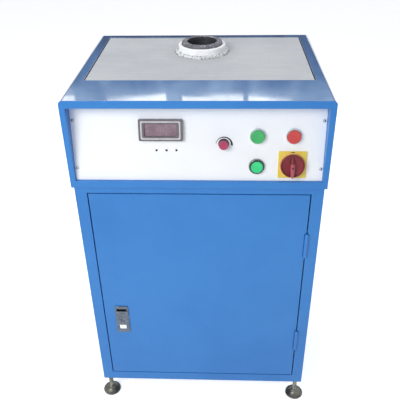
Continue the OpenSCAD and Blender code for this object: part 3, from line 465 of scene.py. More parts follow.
def rounded_box(name, low, high, mat, radius=0.6 * MM, segments=2, place=None):
    low, high = Vector(low), Vector(high)
    shape = bmesh.new()
    bmesh.ops.create_cube(shape, size=1)
    bmesh.ops.scale(shape, vec=high - low, verts=shape.verts)
    bmesh.ops.translate(shape, vec=(low + high) / 2, verts=shape.verts)
    bmesh.ops.bevel(shape, geom=shape.edges[:], offset=radius, segments=segments, affect="EDGES",
                    profile=0.5)
    if place:
        bmesh.ops.transform(shape, matrix=place, verts=shape.verts)
    return from_bmesh(name, shape, mat)


def join(name, pieces):
    """One object out of several new ones."""
    shape = bmesh.new()
    mats = []
    for piece in pieces:
        mat = piece.data.materials[0]
        if mat not in mats:
            mats.append(mat)
        before = len(shape.faces)
        shape.from_mesh(piece.data)
        shape.faces.ensure_lookup_table()
        for face in shape.faces[before:]:
            face.material_index = mats.index(mat)
    mesh = bpy.data.meshes.new(name)
    shape.to_mesh(mesh)
    shape.free()
    for piece in pieces:
        bpy.data.objects.remove(piece)
    for mat in mats:
        mesh.materials.append(mat)
    return link_mesh(name, mesh)


def fit_door_seal():
    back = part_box("face_frame")[0].y + SEAL_DEPTH
    edge = DOOR_EDGE - SEAL_INSET
    low, high = DOOR_LOW + SEAL_INSET, DOOR_HIGH - SEAL_INSET
    path = []
    for x, z, start in (
        (edge - SEAL_BEND, low + SEAL_BEND, -90),
        (edge - SEAL_BEND, high - SEAL_BEND, 0),
        (-edge + SEAL_BEND, high - SEAL_BEND, 90),
        (-edge + SEAL_BEND, low + SEAL_BEND, 180),
    ):
        for k in range(7):
            a = math.radians(start + 15 * k)
            path.append((x + SEAL_BEND * math.cos(a), back, z + SEAL_BEND * math.sin(a)))
    bulb = tube("seal_bulb", path, SEAL_BULB, RUBBER, 10, closed=True)
    feet = [
        rounded_box("seal_foot", (x0, back, z0), (x1, back + 1.4 * MM, z1), RUBBER, 0.2 * MM, 1)
        for x0, x1, z0, z1 in (
            (-DOOR_EDGE, -edge, DOOR_LOW, DOOR_HIGH), (edge, DOOR_EDGE, DOOR_LOW, DOOR_HIGH),
            (-edge, edge, DOOR_LOW, low), (-edge, edge, high, DOOR_HIGH),
        )
    ]
    seal = join("door_seal", [bulb] + feet)
    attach(seal, BODY_OF["face_frame"])


fit_door_seal()


# Levelling feet
# Each foot is a zinc-plated steel pad pressed to a low dome, with a swivelling boss and a threaded
# stem that screws through a weld nut in the cabinet's base.
PAD_R, STEM_R, THREAD_PITCH = 25, 6, 1.75
DARK_ZINC = finish("dark_zinc_steel", (112, 112, 106), (78, 78, 72), (196, 196, 186),
                   stain_size=40.0, grain_size=380, bump=0.25, smooth=0.26, rough=0.5, wear=0.8, metallic=1.0)
FINISH_OF_SLOT["dark_zinc"] = DARK_ZINC


def mm(points):
    """Points given in millimetres, in metres."""
    return [tuple(value * MM for value in point) for point in points]


def lathe(name, profile, mat, place=Matrix(), segments=64, form=None, angle=32):
    """Turns a profile of (radius, height) points round the local z axis."""
    shape = bmesh.new()
    rings = []
    for radius, height in profile:
        ring = []
        for index in range(segments if radius else 1):
            around = 2 * math.pi * index / segments
            r, h = form(radius, height, around) if form else (radius, height)
            ring.append(shape.verts.new(place @ Vector((r * math.cos(around), r * math.sin(around), h))))
        rings.append(ring)
    for first, second in zip(rings, rings[1:]):
        for index in range(segments):
            after = (index + 1) % segments
            if len(first) == len(second) == 1:
                break
            if len(first) == 1:
                shape.faces.new((first[0], second[after], second[index]))
            elif len(second) == 1:
                shape.faces.new((first[index], first[after], second[0]))
            else:
                shape.faces.new((first[index], first[after], second[after], second[index]))
    return from_bmesh(name, shape, mat, angle)


def turn_feet():
    r = PAD_R
    pad = [(0, 0), (r - 2.4, 0), (r - 0.8, 0.5), (r, 1.8), (r, 4), (r - 0.7, 5.1), (r - 2, 5.5), (r - 3, 5),
           (r - 5, 5.6), (17, 7.4), (12.5, 10), (10.6, 11.6), (10, 13), (10, 16), (9.2, 17.4), (7.4, 18.4)]
    for node in ("foot_front_left", "foot_front_right", "foot_rear_left", "foot_rear_right"):
        low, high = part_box(node)
        profile = list(pad)
        z, top = 18.6, high.z / MM
        while z < top - THREAD_PITCH - 1:
            profile += [(STEM_R - 0.8, z), (STEM_R - 0.05, z + 0.75), (STEM_R - 0.05, z + 1)]
            z += THREAD_PITCH
        profile += [(STEM_R - 1.2, top), (0, top)]
        place = Matrix.Translation(((low.x + high.x) / 2, (low.y + high.y) / 2, 0))
        ride_as(lathe(node + "_dressed", mm(profile), DARK_ZINC, place, 48), node, replace=True)
    softened("foot_nuts", 0.6, 1)


turn_feet()


# Hinges and door
# The door is a folded pan with two hat-shaped stiffeners behind it. It hangs on two weld-on bullet
# hinges, which are painted over with the cabinet.
STIFFENER_X = 85 * MM
STIFFENER_STOP = 22 * MM


def hang_door():
    for node in ("door_panel", "hinge_lower_halves", "hinge_upper_halves"):
        softened(node, 0.7)
    coat("hinge_pins")
    low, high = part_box("door_panel")
    outline = [(-32, 0), (-16, 0), (-14, 11), (14, 11), (16, 0), (32, 0), (32, 1.2), (17, 1.2),
               (15, 12.2), (-15, 12.2), (-17, 1.2), (-32, 1.2)]
    for name, x in (("door_stiffener_left", -STIFFENER_X), ("door_stiffener_right", STIFFENER_X)):
        shape = bmesh.new()
        ends = [[shape.verts.new((x + a * MM, low.y + SHEET + b * MM, z)) for a, b in outline]
                for z in (low.z + STIFFENER_STOP, high.z - STIFFENER_STOP)]
        stitch(shape, ends)
        shape.faces.new(ends[0])
        shape.faces.new(ends[1])
        ride_as(from_bmesh(name, shape, BLUE), "door_panel")


hang_door()


# Latch
# A flush paddle latch of satin-chromed zinc: the paddle is pulled out at its lower edge, the key
# cylinder locks the bright push button below it, and the tongue behind holds the face frame.
LATCH = finish("satin_chromed_zinc", (104, 114, 126), (84, 93, 104), (214, 220, 226),
               stain_size=60.0, grain_size=700, bump=0.15, smooth=0.24, rough=0.4, wear=0.9, metallic=0.75)
CHROME = finish("bright_chrome", (232, 235, 238), (206, 212, 218), (248, 248, 248),
                stain_size=80.0, grain_size=300, bump=0.04, smooth=0.05, rough=0.2, metallic=1.0)
FINISH_OF_SLOT.update({"latch_chrome": LATCH, "button_chrome": CHROME})


def fit_latch():
    for node, width in (("latch_housing", 0.5), ("latch_paddle", 0.6), ("latch_push_button", 0.9),
                        ("latch_tongue", 0.4)):
        softened(node, width)
    coat("latch_key_cylinder")
    low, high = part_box("latch_key_cylinder")
    place = Matrix.Translation(((low.x + high.x) / 2, low.y, (low.z + high.z) / 2))
    radius = (high.x - low.x) / 2
    rim = [(radius - 0.1 * MM, 0.8 * MM), (radius - 0.5 * MM, 0), (radius - 1.3 * MM, 0),
           (radius - 1.6 * MM, 0.5 * MM)]
    place = place @ Matrix.Rotation(-math.pi / 2, 4, "X")
    ride_as(lathe("key_rim", rim, CHROME, place, 40), "latch_key_cylinder")


fit_latch()


# Rear cover
# The back of the cabinet is one painted sheet with louvres, held by cross-recessed pan-head screws
# so that the water hoses and the generator can be reached.
SCREW_SHADOW = finish("recess_shadow", (38, 38, 38), (24, 24, 24), stain_size=300.0,
                      grain_size=900, smooth=0.6, rough=0.8, wear=0.0, metallic=0.6)


def cross_screw(name, place, radius, height, mat):
    """A pan head with a cross recess, whose seat is at the place's origin and axis along its z."""
    profile = [(0, height), (radius * 0.45, height * 0.98), (radius * 0.8, height * 0.78),
               (radius, height * 0.35), (radius, 0), (0, 0)]
    half, thin = radius * 0.55, radius * 0.12
    bars = [
        rounded_box("bar", (-half, -thin, height * 0.72), (half, thin, height * 1.01), SCREW_SHADOW,
                    0.05 * MM, 1, place @ Matrix.Rotation(turn, 4, "Z"))
        for turn in (0.3, 0.3 + math.pi / 2)
    ]
    return join(name, [lathe("head", profile, mat, place, 32)] + bars)


def shells(node):
    """The boxes of a node's separate solids."""
    shape = bmesh.new()
    shape.from_mesh(NODES[node].data)
    bmesh.ops.remove_doubles(shape, verts=shape.verts, dist=WELD)
    left = set(shape.verts)
    boxes = []
    while left:
        reach = [left.pop()]
        found = list(reach)
        while reach:
            for edge in reach.pop().link_edges:
                for vert in edge.verts:
                    if vert in left:
                        left.remove(vert)
                        reach.append(vert)
                        found.append(vert)
        boxes.append((Vector(min(v.co[k] for v in found) for k in range(3)),
                      Vector(max(v.co[k] for v in found) for k in range(3))))
    shape.free()
    return sorted(boxes, key=lambda box: tuple(round(v, 4) for v in box[0]))


def fit_rear_cover():
    softened("rear_cover", 0.3, 1)
    heads = []
    for low, high in shells("rear_cover_screws"):
        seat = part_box("rear_cover")[1].y
        place = Matrix.Translation(((low.x + high.x) / 2, seat, (low.z + high.z) / 2))
        place = place @ Matrix.Rotation(-math.pi / 2, 4, "X")
        heads.append(cross_screw("head", place, (high.x - low.x) / 2, high.y - seat, DARK_ZINC))
    ride_as(join("rear_cover_screws_dressed", heads), "rear_cover_screws", replace=True)


fit_rear_cover()


# Furnace head
# The head is a second blue box that overhangs the cabinet, with the control panel let into its front.
# Its top is a frame of mirror-polished stainless sheet, folded down at the edges and slightly wavy.
MIRROR = finish("mirror_stainless", (198, 208, 222), (182, 194, 212), (235, 238, 242),
                stain_size=9.0, grain_size=420, stretch=(0.05, 3, 3), bump=0.05, depth=0.02 * MM,
                smooth=0.03, rough=0.09, wear=0.2, metallic=1.0, wave=(9, 0.35 * MM))
FINISH_OF_SLOT["mirror_stainless"] = MIRROR

for head_node in ("head_front_frame", "head_left_panel", "head_right_panel", "head_back_panel"):
    softened(head_node, 0.8)
softened("top_frame", 1.1, merge=False)
coat("board_ledge")


# Heat-proof board
# The crucible stands in a hole in a pale grey fibre-cement board, sawn to size and laid loose on a
# ledge. Its face keeps the faint streaks of the press, and it is browned a little round the hole.
CRUCIBLE_Y = HEAD_FRONT + 342 * MM
BOARD = finish("fibre_cement_board", (196, 199, 203), (186, 189, 195), (214, 216, 217),
               stain_size=5.0, grain_size=260, stretch=(1, 3, 1), bump=0.5, depth=0.12 * MM,
               smooth=0.78, rough=0.92, wear=0.6)
FINISH_OF_SLOT["board_grey"] = BOARD


def make_speckle():
    """Small irregular grains of another colour, scattered over part of a surface."""
    group, given, result = open_group("speckle", (
        ("Colour", "Color", (0.5, 0.5, 0.5, 1)),
        ("Grain Colour", "Color", (0.2, 0.2, 0.2, 1)),
        ("Grain Count", "Float", 400.0),
        ("Share", "Float", 0.2),
        ("Strength", "Float", 1.0),
    ), (("Colour", "Color"),))
    w = Wiring(group)
    cells = w.put("TexVoronoi", Vector=w.put("TexCoord").outputs["Object"], Scale=given["Grain Count"])
    chance = w.put("SeparateColor", Color=cells.outputs["Color"]).outputs[0]
    chosen = w.math("LESS_THAN", chance, given["Share"])
    round_off = w.remap(cells.outputs["Distance"], 0.35, 0.6, given["Strength"], 0)
    mask = w.math("MULTIPLY", chosen, round_off)
    w.give(result["Colour"], w.mix(mask, given["Colour"], given["Grain Colour"]))
    return group


SPECKLE = make_speckle()


def speckle(mat, size, colour, share, strength=1.0):
    """Lays grains over the colour that a finish already has."""
    w = Wiring(mat.node_tree)
    base = mat.node_tree.nodes["Principled BSDF"].inputs["Base Color"]
    under = base.links[0].from_socket
    group = mat.node_tree.nodes.new("ShaderNodeGroup")
    group.node_tree = SPECKLE
    for label, value in {"Colour": under, "Grain Colour": colour, "Grain Count": 1 / size, "Share": share,
                         "Strength": strength}.items():
        w.give(group.inputs[label], value)
    w.give(base, group.outputs["Colour"])


def age_board():
    """Streaks along the board and a brown ring of heat round the crucible."""
    w = Wiring(BOARD.node_tree)
    base = BOARD.node_tree.nodes["Principled BSDF"].inputs["Base Color"]
    plain = base.links[0].from_socket
    place = w.put("TexCoord").outputs["Object"]
    drawn = w.put("Mapping", Vector=place, Scale=(3.0, 40.0, 1.0), Rotation=(0, 0, 0.06)).outputs[0]
    press = w.put("TexNoise", Vector=drawn, Scale=2.5, Detail=5.0).outputs["Fac"]
    streak = w.remap(press, 0.5, 0.72, 0, 0.35)
    out = w.put("VectorMath", {"operation": "DISTANCE"})
    flat = w.put("Mapping", Vector=place, Scale=(1, 1, 0)).outputs[0]
    w.give(out.inputs[0], flat)
    w.give(out.inputs[1], (0, CRUCIBLE_Y, 0))
    ragged = w.math("MULTIPLY", w.put("TexNoise", Vector=place, Scale=60.0, Detail=4.0).outputs["Fac"], 0.02)
    near = w.remap(w.math("ADD", out.outputs["Value"], ragged), 0.062, 0.115, 0.55, 0)
    w.give(base, w.mix(near, w.mix(streak, plain, srgb(212, 214, 216)), srgb(158, 157, 155)))


age_board()
speckle(BOARD, 1.6 * MM, srgb(168, 170, 173), 0.12, 0.6)
softened("insulation_board", 0.5)


# Crucible
# The crucible is turned from graphite with a chamfered lip, and is lifted out with tongs to pour.
# Its mouth is worn smooth and grey, and its bore is darkened by slag and heat.
CRUCIBLE_R = 51.5 * MM
CAVITY_R = 38 * MM
CAVITY_FLOOR = 799 * MM
GRAPHITE = finish("turned_graphite", (116, 116, 124), (86, 88, 96), (176, 178, 184),
                  stain_size=45.0, grain_size=700, bump=0.6, depth=0.2 * MM, smooth=0.42, rough=0.68,
                  wear=0.7, metallic=0.25)
SLAG = finish("slagged_graphite", (62, 63, 70), (44, 45, 52), (120, 122, 128),
              stain_size=60.0, grain_size=500, bump=0.8, depth=0.4 * MM, smooth=0.45, rough=0.8,
              wear=0.4, metallic=0.2)
FINISH_OF_SLOT["graphite"] = GRAPHITE
speckle(GRAPHITE, 3 * MM, srgb(226, 228, 232), 0.09, 0.8)


def turn_crucible():
    low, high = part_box("crucible")
    place = Matrix.Translation((0, CRUCIBLE_Y, 0))
    top, r, bore = high.z, CRUCIBLE_R, CAVITY_R

    def chipped(radius, height, around):
        """The lip is nicked here and there by the tongs."""
        if height < top - 4 * MM:
            return radius, height
        nick = noise.noise(Vector((math.cos(around) * 3, math.sin(around) * 3, height * 300)))
        fine = noise.noise(Vector((math.cos(around) * 14, math.sin(around) * 14, radius * 400)))
        return radius, height - max(0.0, nick - 0.15) * 1.6 * MM - abs(fine) * 0.25 * MM

    outside = [(0, low.z), (r - 2.5 * MM, low.z), (r, low.z + 2.5 * MM)]
    outside += [(r - 0.15 * MM * (k % 2), low.z + 2.5 * MM + (top - low.z - 5 * MM) * k / 40)
                for k in range(1, 41)]
    outside += [(r - 0.5 * MM, top - 3.4 * MM), (r - 2.6 * MM, top - 1.9 * MM),
                (r - 5.2 * MM, top - 0.6 * MM), (r - 7 * MM, top),
                (bore + 2.4 * MM, top), (bore + 0.9 * MM, top - 0.5 * MM),
                (bore + 0.1 * MM, top - 1.8 * MM)]
    inside = [(bore + 0.1 * MM, top - 1.8 * MM), (bore, top - 4 * MM), (bore, CAVITY_FLOOR + 9 * MM),
              (bore - 1.2 * MM, CAVITY_FLOOR + 4 * MM), (bore - 5 * MM, CAVITY_FLOOR + 1 * MM),
              (bore - 10 * MM, CAVITY_FLOOR), (0, CAVITY_FLOOR)]
    body = lathe("outside", outside, GRAPHITE, place, 96, chipped)
    cavity = lathe("inside", inside, SLAG, place, 96, chipped)
    for polygon in cavity.data.polygons:
        polygon.flip()
    ride_as(join("crucible_dressed", [body, cavity]), "crucible", replace=True)


turn_crucible()


# Fibre collar and packing
# A moulded ceramic-fibre ring holds the crucible, and the gap to the board is stuffed with loose
# refractory wool and grit, which stands up round it in a ragged, speckled ring.
COLLAR_IN, COLLAR_OUT = 52 * MM, 60.5 * MM
PACKING_IN, PACKING_OUT = 60.7 * MM, 70.7 * MM
CRUMBS = 260
FIBRE = finish("white_ceramic_fibre", (252, 253, 255), (242, 244, 248), (255, 255, 255),
               stain_size=40.0, grain_size=420, bump=0.9, depth=0.3 * MM, smooth=0.85, rough=0.97, wear=0.2)
GRIT_SURFACE = {"stain_size": 160.0, "grain_size": 900, "bump": 0.9, "depth": 0.5 * MM, "smooth": 0.85,
                "rough": 0.98, "wear": 0.3}
GRIT = finish("refractory_grit", (226, 229, 232), (204, 207, 211), (250, 250, 250), **GRIT_SURFACE)
CINDER = finish("grey_grit", (118, 120, 124), (92, 94, 98), (170, 172, 176), **GRIT_SURFACE)
FINISH_OF_SLOT["white_fibre"] = FIBRE
speckle(GRIT, 4 * MM, srgb(96, 99, 104), 0.32, 1.0)
speckle(GRIT, 2.4 * MM, srgb(254, 254, 255), 0.35, 1.0)


def pack_crucible():
    low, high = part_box("fibre_collar")
    place = Matrix.Translation((0, CRUCIBLE_Y, 0))
    inner, outer, top = COLLAR_IN, COLLAR_OUT, high.z

    def lumpy(radius, height, around):
        swell = noise.noise(Vector((math.cos(around) * 2, math.sin(around) * 2, height * 40)))
        pit = noise.noise(Vector((math.cos(around) * 16, math.sin(around) * 16, height * 300)))
        sunk = abs(swell) * 1.1 * MM if height > low.z else 0
        return radius - max(0, swell) * 0.5 * MM - abs(pit) * 0.25 * MM, height - sunk

    profile = [(inner, low.z), (outer, low.z)]
    profile += [(outer, low.z + (top - 3 * MM - low.z) * k / 12) for k in range(1, 13)]
    profile += [(outer - 0.6 * MM, top - 1.3 * MM), (outer - 2 * MM, top - 0.3 * MM), (outer - 3.4 * MM, top),
                (inner + 1.4 * MM, top - 0.2 * MM), (inner, top - 1.4 * MM), (inner, low.z)]
    ride_as(lathe("fibre_collar_dressed", profile, FIBRE, place, 120, lumpy), "fibre_collar", replace=True)

    low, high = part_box("fibre_packing")
    inner, outer, top = PACKING_IN, PACKING_OUT, high.z

    def ragged(radius, height, around):
        if height <= low.z:
            return radius, height
        ahead = Vector((math.cos(around) * 9, math.sin(around) * 9, radius * 160))
        rough = noise.noise(ahead) * 0.5 + noise.noise(ahead * 2.7) * 0.35
        out = min(1.0, max(0.0, (radius - inner) / (outer - inner)))
        return radius + rough * 1.6 * MM * out - 1.2 * MM * out, height + rough * 2.2 * MM - 0.9 * MM

    def heaped(out):
        """The height of the packing, which falls off towards its outer edge."""
        return low.z + (top - low.z) * (1 - out ** 2.2) ** 0.6

    profile = [(inner, low.z), (outer - 1 * MM, low.z)]
    steps = 9
    for k in range(steps + 1):
        out = 1 - k / steps
        rise = heaped(out) if out < 1 else low.z + 0.6 * MM
        profile.append((inner + (outer - 0.6 * MM - inner) * out, rise))
    ring = lathe("ring", profile, GRIT, place, 220, ragged)
    crumbs = []
    for index in range(CRUMBS):
        around = random.uniform(0, 2 * math.pi)
        out = random.random() ** 0.7
        size = random.uniform(0.5, 1.25) * MM
        radius = inner + 1 * MM + (outer - inner - 2.4 * MM) * out
        height = heaped(out) - random.uniform(0.8, 1.6) * MM
        shape = bmesh.new()
        bmesh.ops.create_icosphere(shape, subdivisions=1, radius=size)
        for vert in shape.verts:
            vert.co *= random.uniform(0.7, 1.1)
        bmesh.ops.translate(shape, verts=shape.verts, vec=(
            radius * math.cos(around), CRUCIBLE_Y + radius * math.sin(around), max(height, low.z + size)))
        crumbs.append(from_bmesh("crumb", shape, (GRIT, FIBRE, CINDER)[index % 3], 60))
    ride_as(join("fibre_packing_dressed", [ring] + crumbs), "fibre_packing", replace=True)


random.seed(7)
pack_crucible()


# Control panel
# The panel is a white lacquered steel sheet that leans back a little behind the front frame, held by
# four small screws.
PANEL_LEAN = math.radians(8)
PANEL_FOOT = (0, HEAD_FRONT + 7 * MM, 732 * MM)
PANEL_PLACE = Matrix.Translation(PANEL_FOOT) @ Matrix.Rotation(math.pi / 2 - PANEL_LEAN, 4, "X")
PANEL_SCREWS = ((-271.5, 29), (-271.5, 139), (271.5, 29), (271.5, 139))
WHITE = finish("white_satin_plate", (250, 252, 255), (245, 248, 253), (255, 255, 255),
               stain_size=4.0, grain_size=900, bump=0.06, smooth=0.3, rough=0.42, wear=0.1, coat=0.2)
FINISH_OF_SLOT["panel_white"] = WHITE


def on_panel(x, up, out=0.0):
    """A place on the panel, in millimetres, with its z axis pointing out of it."""
    return PANEL_PLACE @ Matrix.Translation((x * MM, up * MM, out * MM))


coat("control_panel")
ride_as(join("panel_screws_dressed", [
    cross_screw("head", on_panel(x, up), 3.6 * MM, 2.4 * MM, ZINC) for x, up in PANEL_SCREWS
]), "panel_screws", replace=True)


# Panel meter
# A plug-in digital meter: a grey moulded bezel with a sloping inner lip, painted much paler than the bezel
# as a painted highlight, and behind it a smoked red window, whose display is dark while the furnace is
# switched off.
METER_X, METER_UP, METER_W, METER_H = -80, 119, 96, 48
PANE_W, PANE_H = 71.6, 28.6
FIRST_DIGIT_X, DIGIT_PITCH = -19.5, 13
DIGIT_BARS = ((0, 8, 6, 1), (0, 0, 6, 1), (0, -8, 6, 1), (-3.6, 4, 1, 6), (3.6, 4, 1, 6), (-3.6, -4, 1, 6),
              (3.6, -4, 1, 6))
METER = finish("meter_moulding", (112, 110, 113), (98, 95, 99), (176, 174, 176),
               stain_size=70.0, grain_size=1200, bump=0.25, smooth=0.32, rough=0.5, wear=0.8)
# The lip is the same grey moulding as the bezel; its pale colour is a painted highlight where it catches the
# light.
LIP_HIGHLIGHT = finish("meter_lip_highlight", (216, 211, 219), (190, 184, 193), (236, 232, 236),
             stain_size=60.0, grain_size=1200, bump=0.15, smooth=0.2, rough=0.36, wear=0.5, coat=0.3)
PANE = finish("smoked_pane", (148, 122, 136), (126, 100, 116), (170, 150, 160),
              stain_size=50.0, grain_size=500, bump=0.02, smooth=0.06, rough=0.16, wear=0.1, coat=0.6,
              coat_rough=0.04)
SEGMENT = finish("unlit_segment", (138, 112, 126), (130, 104, 118), stain_size=80.0,
                 grain_size=600, smooth=0.12, rough=0.2, wear=0.0, coat=0.4)
FINISH_OF_SLOT.update({"meter_grey": METER, "meter_glass": PANE})


def rounded_ring(place, sizes, steps=6):
    """A band between rounded rectangles, each given as width, height, corner radius and rise in mm."""
    shape = bmesh.new()
    rings = []
    for width, height, corner, rise in sizes:
        ring = []
        for sx, sy, start in ((1, 1, 0), (-1, 1, 90), (-1, -1, 180), (1, -1, 270)):
            for k in range(steps + 1):
                a = math.radians(start + 90 * k / steps)
                x = sx * (width / 2 - corner) + corner * math.cos(a)
                y = sy * (height / 2 - corner) + corner * math.sin(a)
                ring.append(shape.verts.new(place @ Vector((x * MM, y * MM, rise * MM))))
        rings.append(ring)
    stitch(shape, rings)
    return shape, rings


def fit_meter():
    softened("meter_bezel", 0.5, merge=False)
    place = on_panel(METER_X, METER_UP)
    shape = rounded_ring(place, (
        (METER_W - 9, METER_H - 7, 3, 8.05), (METER_W - 11, METER_H - 9, 3, 8.6),
        (METER_W - 14, METER_H - 12, 3.4, 8.4), (PANE_W + 0.2, PANE_H + 0.2, 4, 4.4),
    ))[0]
    # The lip takes the pale finish: painted highlight on the bezel's inner slope.
    ride_as(from_bmesh("meter_lip_highlight", shape, LIP_HIGHLIGHT, 50), "meter_bezel")
    shape, rings = rounded_ring(place, (
        (PANE_W, PANE_H, 3.9, 2.1), (PANE_W, PANE_H, 3.9, 3.9), (PANE_W - 1, PANE_H - 1, 3.6, 4.4)))
    shape.faces.new(rings[-1])
    shape.faces.new(rings[0])
    ride_as(from_bmesh("meter_window_dressed", shape, PANE, 40), "meter_window", replace=True)
    digits = []
    for k in range(4):
        for across, up, wide, tall in DIGIT_BARS:
            x = FIRST_DIGIT_X + DIGIT_PITCH * k + across
            low, high = mm(((x - wide / 2, up - tall / 2, 4.3), (x + wide / 2, up + tall / 2, 4.5)))
            digits.append(rounded_box("segment", low, high, SEGMENT, 0.1 * MM, 1, place))
    ride_as(join("meter_segments", digits), "meter_window")


fit_meter()


# Indicator lamps
# Three small black-bodied lamps with domed lenses are pushed into the panel below the meter.
LAMPS_X, LAMPS_UP, LAMP_PITCH = -69, 71.5, 22
BLACK = finish("black_moulding", (40, 40, 42), (30, 30, 32), (92, 92, 94),
               stain_size=40.0, grain_size=900, bump=0.25, smooth=0.38, rough=0.58, wear=0.4)
LENS = finish("dark_lamp_lens", (18, 13, 15), (12, 9, 11), stain_size=300.0, grain_size=900,
              bump=0.03, smooth=0.3, rough=0.4, wear=0.0)
FINISH_OF_SLOT["black_plastic"] = BLACK


def fit_lamps():
    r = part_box("indicator_lamps")[1].x / MM - (LAMPS_X + LAMP_PITCH)
    rim = mm([(r - 0.3, -8), (r - 0.3, 0), (r, 0.05), (r, 0.5), (r - 0.35, 0.9), (r - 0.8, 0.9)])
    dome = mm([(r - 0.8, 0.6), (r - 0.9, 0.95), (r - 1.3, 1.15), (0, 1.2)])
    lamps = []
    for k in (-1, 0, 1):
        place = on_panel(LAMPS_X + k * LAMP_PITCH, LAMPS_UP)
        lamps += [lathe("rim", rim, BLACK, place, 32), lathe("dome", dome, LENS, place, 32)]
    ride_as(join("indicator_lamps_dressed", lamps), "indicator_lamps", replace=True)


fit_lamps()


# Power knob
# The knob has a magenta cap over a fluted skirt, which is painted dark plum as painted shade of the magenta,
# and a pointer line of the same plum marks the cap. It turns a potentiometer behind the panel.
# A black crescent printed round it thickens towards full power.
KNOB_X, KNOB_UP, KNOB_R, KNOB_TALL, FLUTES = 57, 87, 12, 14, 24
MAGENTA = finish("magenta_cap", (184, 64, 104), (162, 50, 88), (224, 140, 164),
                 stain_size=90.0, grain_size=800, bump=0.15, smooth=0.3, rough=0.45, wear=0.5)
CAN = finish("pressed_steel_can", (170, 172, 174), (140, 142, 145), stain_size=60.0,
             grain_size=300, stretch=(1, 1, 0.1), metallic=1.0)
INK_OUT = 0.06
INK = finish("black_ink", (30, 32, 38), (44, 46, 54), stain_size=200.0, grain_size=900,
             bump=0.05, smooth=0.4, rough=0.6, wear=0.0)
# Dark plum: painted shade of the magenta on the knob's skirt, and the colour of the cap's pointer line.
PLUM_SHADE_AND_LINE = finish("plum_skirt_shade_and_line", (84, 36, 58), (60, 26, 44), (150, 90, 116), stain_size=90.0,
               grain_size=800, bump=0.15, smooth=0.3, rough=0.5, wear=0.5)
FINISH_OF_SLOT.update({"knob_magenta": MAGENTA, "pot_steel": CAN})


def fit_knob():
    place = on_panel(KNOB_X, KNOB_UP)
    r, top = KNOB_R - 1, KNOB_TALL

    def fluted(radius, height, around):
        if 2.9 * MM < height < (top - 1.6) * MM and radius > (r - 1.2) * MM:
            return radius - 0.35 * MM * (0.5 + 0.5 * math.cos(FLUTES * around)), height
        return radius, height

    skirt = mm([(3, -16), (3, 0.4), (KNOB_R, 0.4), (KNOB_R, 1.6), (KNOB_R - 0.6, 2.5), (r, 3), (r - 0.1, 4),
                (r - 0.5, top - 2), (r - 0.7, top - 1)])
    cap = mm([(r - 0.7, top - 1), (r - 1.1, top - 0.3), (r - 1.9, top), (r - 2.6, top - 0.05),
              (r - 3, top - 0.35), (0, top - 0.45)])
    low, high = mm(((-0.5, 2.5, top - 0.5), (0.5, r - 1.4, top)))
    ride_as(join("power_knob_dressed", [
        # The skirt is painted plum as shade of the magenta; the pointer line on the cap shares that colour.
        lathe("skirt", skirt, PLUM_SHADE_AND_LINE, place, 192, fluted), lathe("cap", cap, MAGENTA, place, 96),
        rounded_box("line", low, high, PLUM_SHADE_AND_LINE, 0.1 * MM, 1, place),
    ]), "power_knob", replace=True)
    softened("potentiometer", 0.4, merge=False)


def print_crescent():
    """A band on the panel that widens from its left end to its right end."""
    shape = bmesh.new()
    middle_x, middle_up, radius = KNOB_X + 0.5, KNOB_UP - 2.5, 17.6
    rows = []
    for k in range(41):
        part = k / 40
        around = math.radians(172 - 176 * part)
        half = 0.45 + 1.6 * part ** 1.2
        row = []
        for out in (radius - half, radius + half):
            x, up = middle_x + out * math.cos(around), middle_up + out * math.sin(around)
            row.append(shape.verts.new(on_panel(x, up, INK_OUT).translation))
        rows.append(row)
    stitch(shape, rows, closed=False)
    crescent = from_bmesh("power_crescent", shape, INK)
    solid = crescent.modifiers.new("ink", "SOLIDIFY")
    solid.thickness = 0.04 * MM
    ride_as(crescent, "control_panel")


fit_knob()
print_crescent()


# Push buttons
# Three 22 mm push buttons: start and stop have flush caps in pale rings, and the third is a lit lens
# in a bright metal ring. Each is clamped by a nut and carries its contact block behind the panel.
START_X, STOP_X, BUTTON_UP, LIT_UP = 130.5, 208.5, 105, 35
RING_R, CAP_R, BORE_R, THREAD_LEN, TRAVEL = 18, 15.25, 9, 28, 3.5
CAP_PROUD, LIT_PROUD = 9.5, 8
RING = finish("light_ring", (226, 232, 230), (212, 220, 218), (246, 246, 246),
              stain_size=90.0, grain_size=700, bump=0.05, smooth=0.16, rough=0.3, wear=0.4, coat=0.4)
CAP_SURFACE = {"stain_size": 90.0, "grain_size": 800, "bump": 0.08, "smooth": 0.22, "rough": 0.36,
               "wear": 0.4, "coat": 0.4}
GREEN = finish("green_cap", (56, 180, 100), (46, 168, 92), (150, 224, 176), **CAP_SURFACE)
RED = finish("red_cap", (206, 62, 60), (192, 52, 52), (240, 140, 130), **CAP_SURFACE)
LIT = finish("lit_green_lens", (24, 190, 116), (20, 180, 108), (100, 236, 170),
             stain_size=120.0, grain_size=500, bump=0.1, smooth=0.16, rough=0.3, wear=0.1, coat=0.5,
             glow=srgb(30, 214, 130), glow_strength=0.25)
DARK_GREEN = finish("lens_holder", (12, 78, 56), (8, 60, 44), (60, 130, 100),
                    stain_size=120.0, grain_size=700, bump=0.05, smooth=0.2, rough=0.36, wear=0.3, coat=0.3)
BEZEL = finish("satin_metal_bezel", (150, 156, 158), (118, 126, 128), (220, 224, 226),
               stain_size=70.0, grain_size=500, bump=0.06, smooth=0.16, rough=0.32, metallic=0.9)
FINISH_OF_SLOT.update({"ring_light": RING, "start_green": GREEN, "stop_red": RED, "lit_green": LIT})


def turn_ring(place, mat):
    r = RING_R
    profile = [(BORE_R + 2, -THREAD_LEN), (BORE_R + 2, -1), (r, 0), (r, 2.6), (r - 0.3, 3.6), (r - 0.9, 4.9),
               (r - 1.4, 5.5), (r - 1.8, 5.5), (CAP_R + 0.45, 4.9), (CAP_R + 0.4, 0.6), (CAP_R - 3, 0.55)]
    return lathe("ring", mm(profile), mat, place, 80)


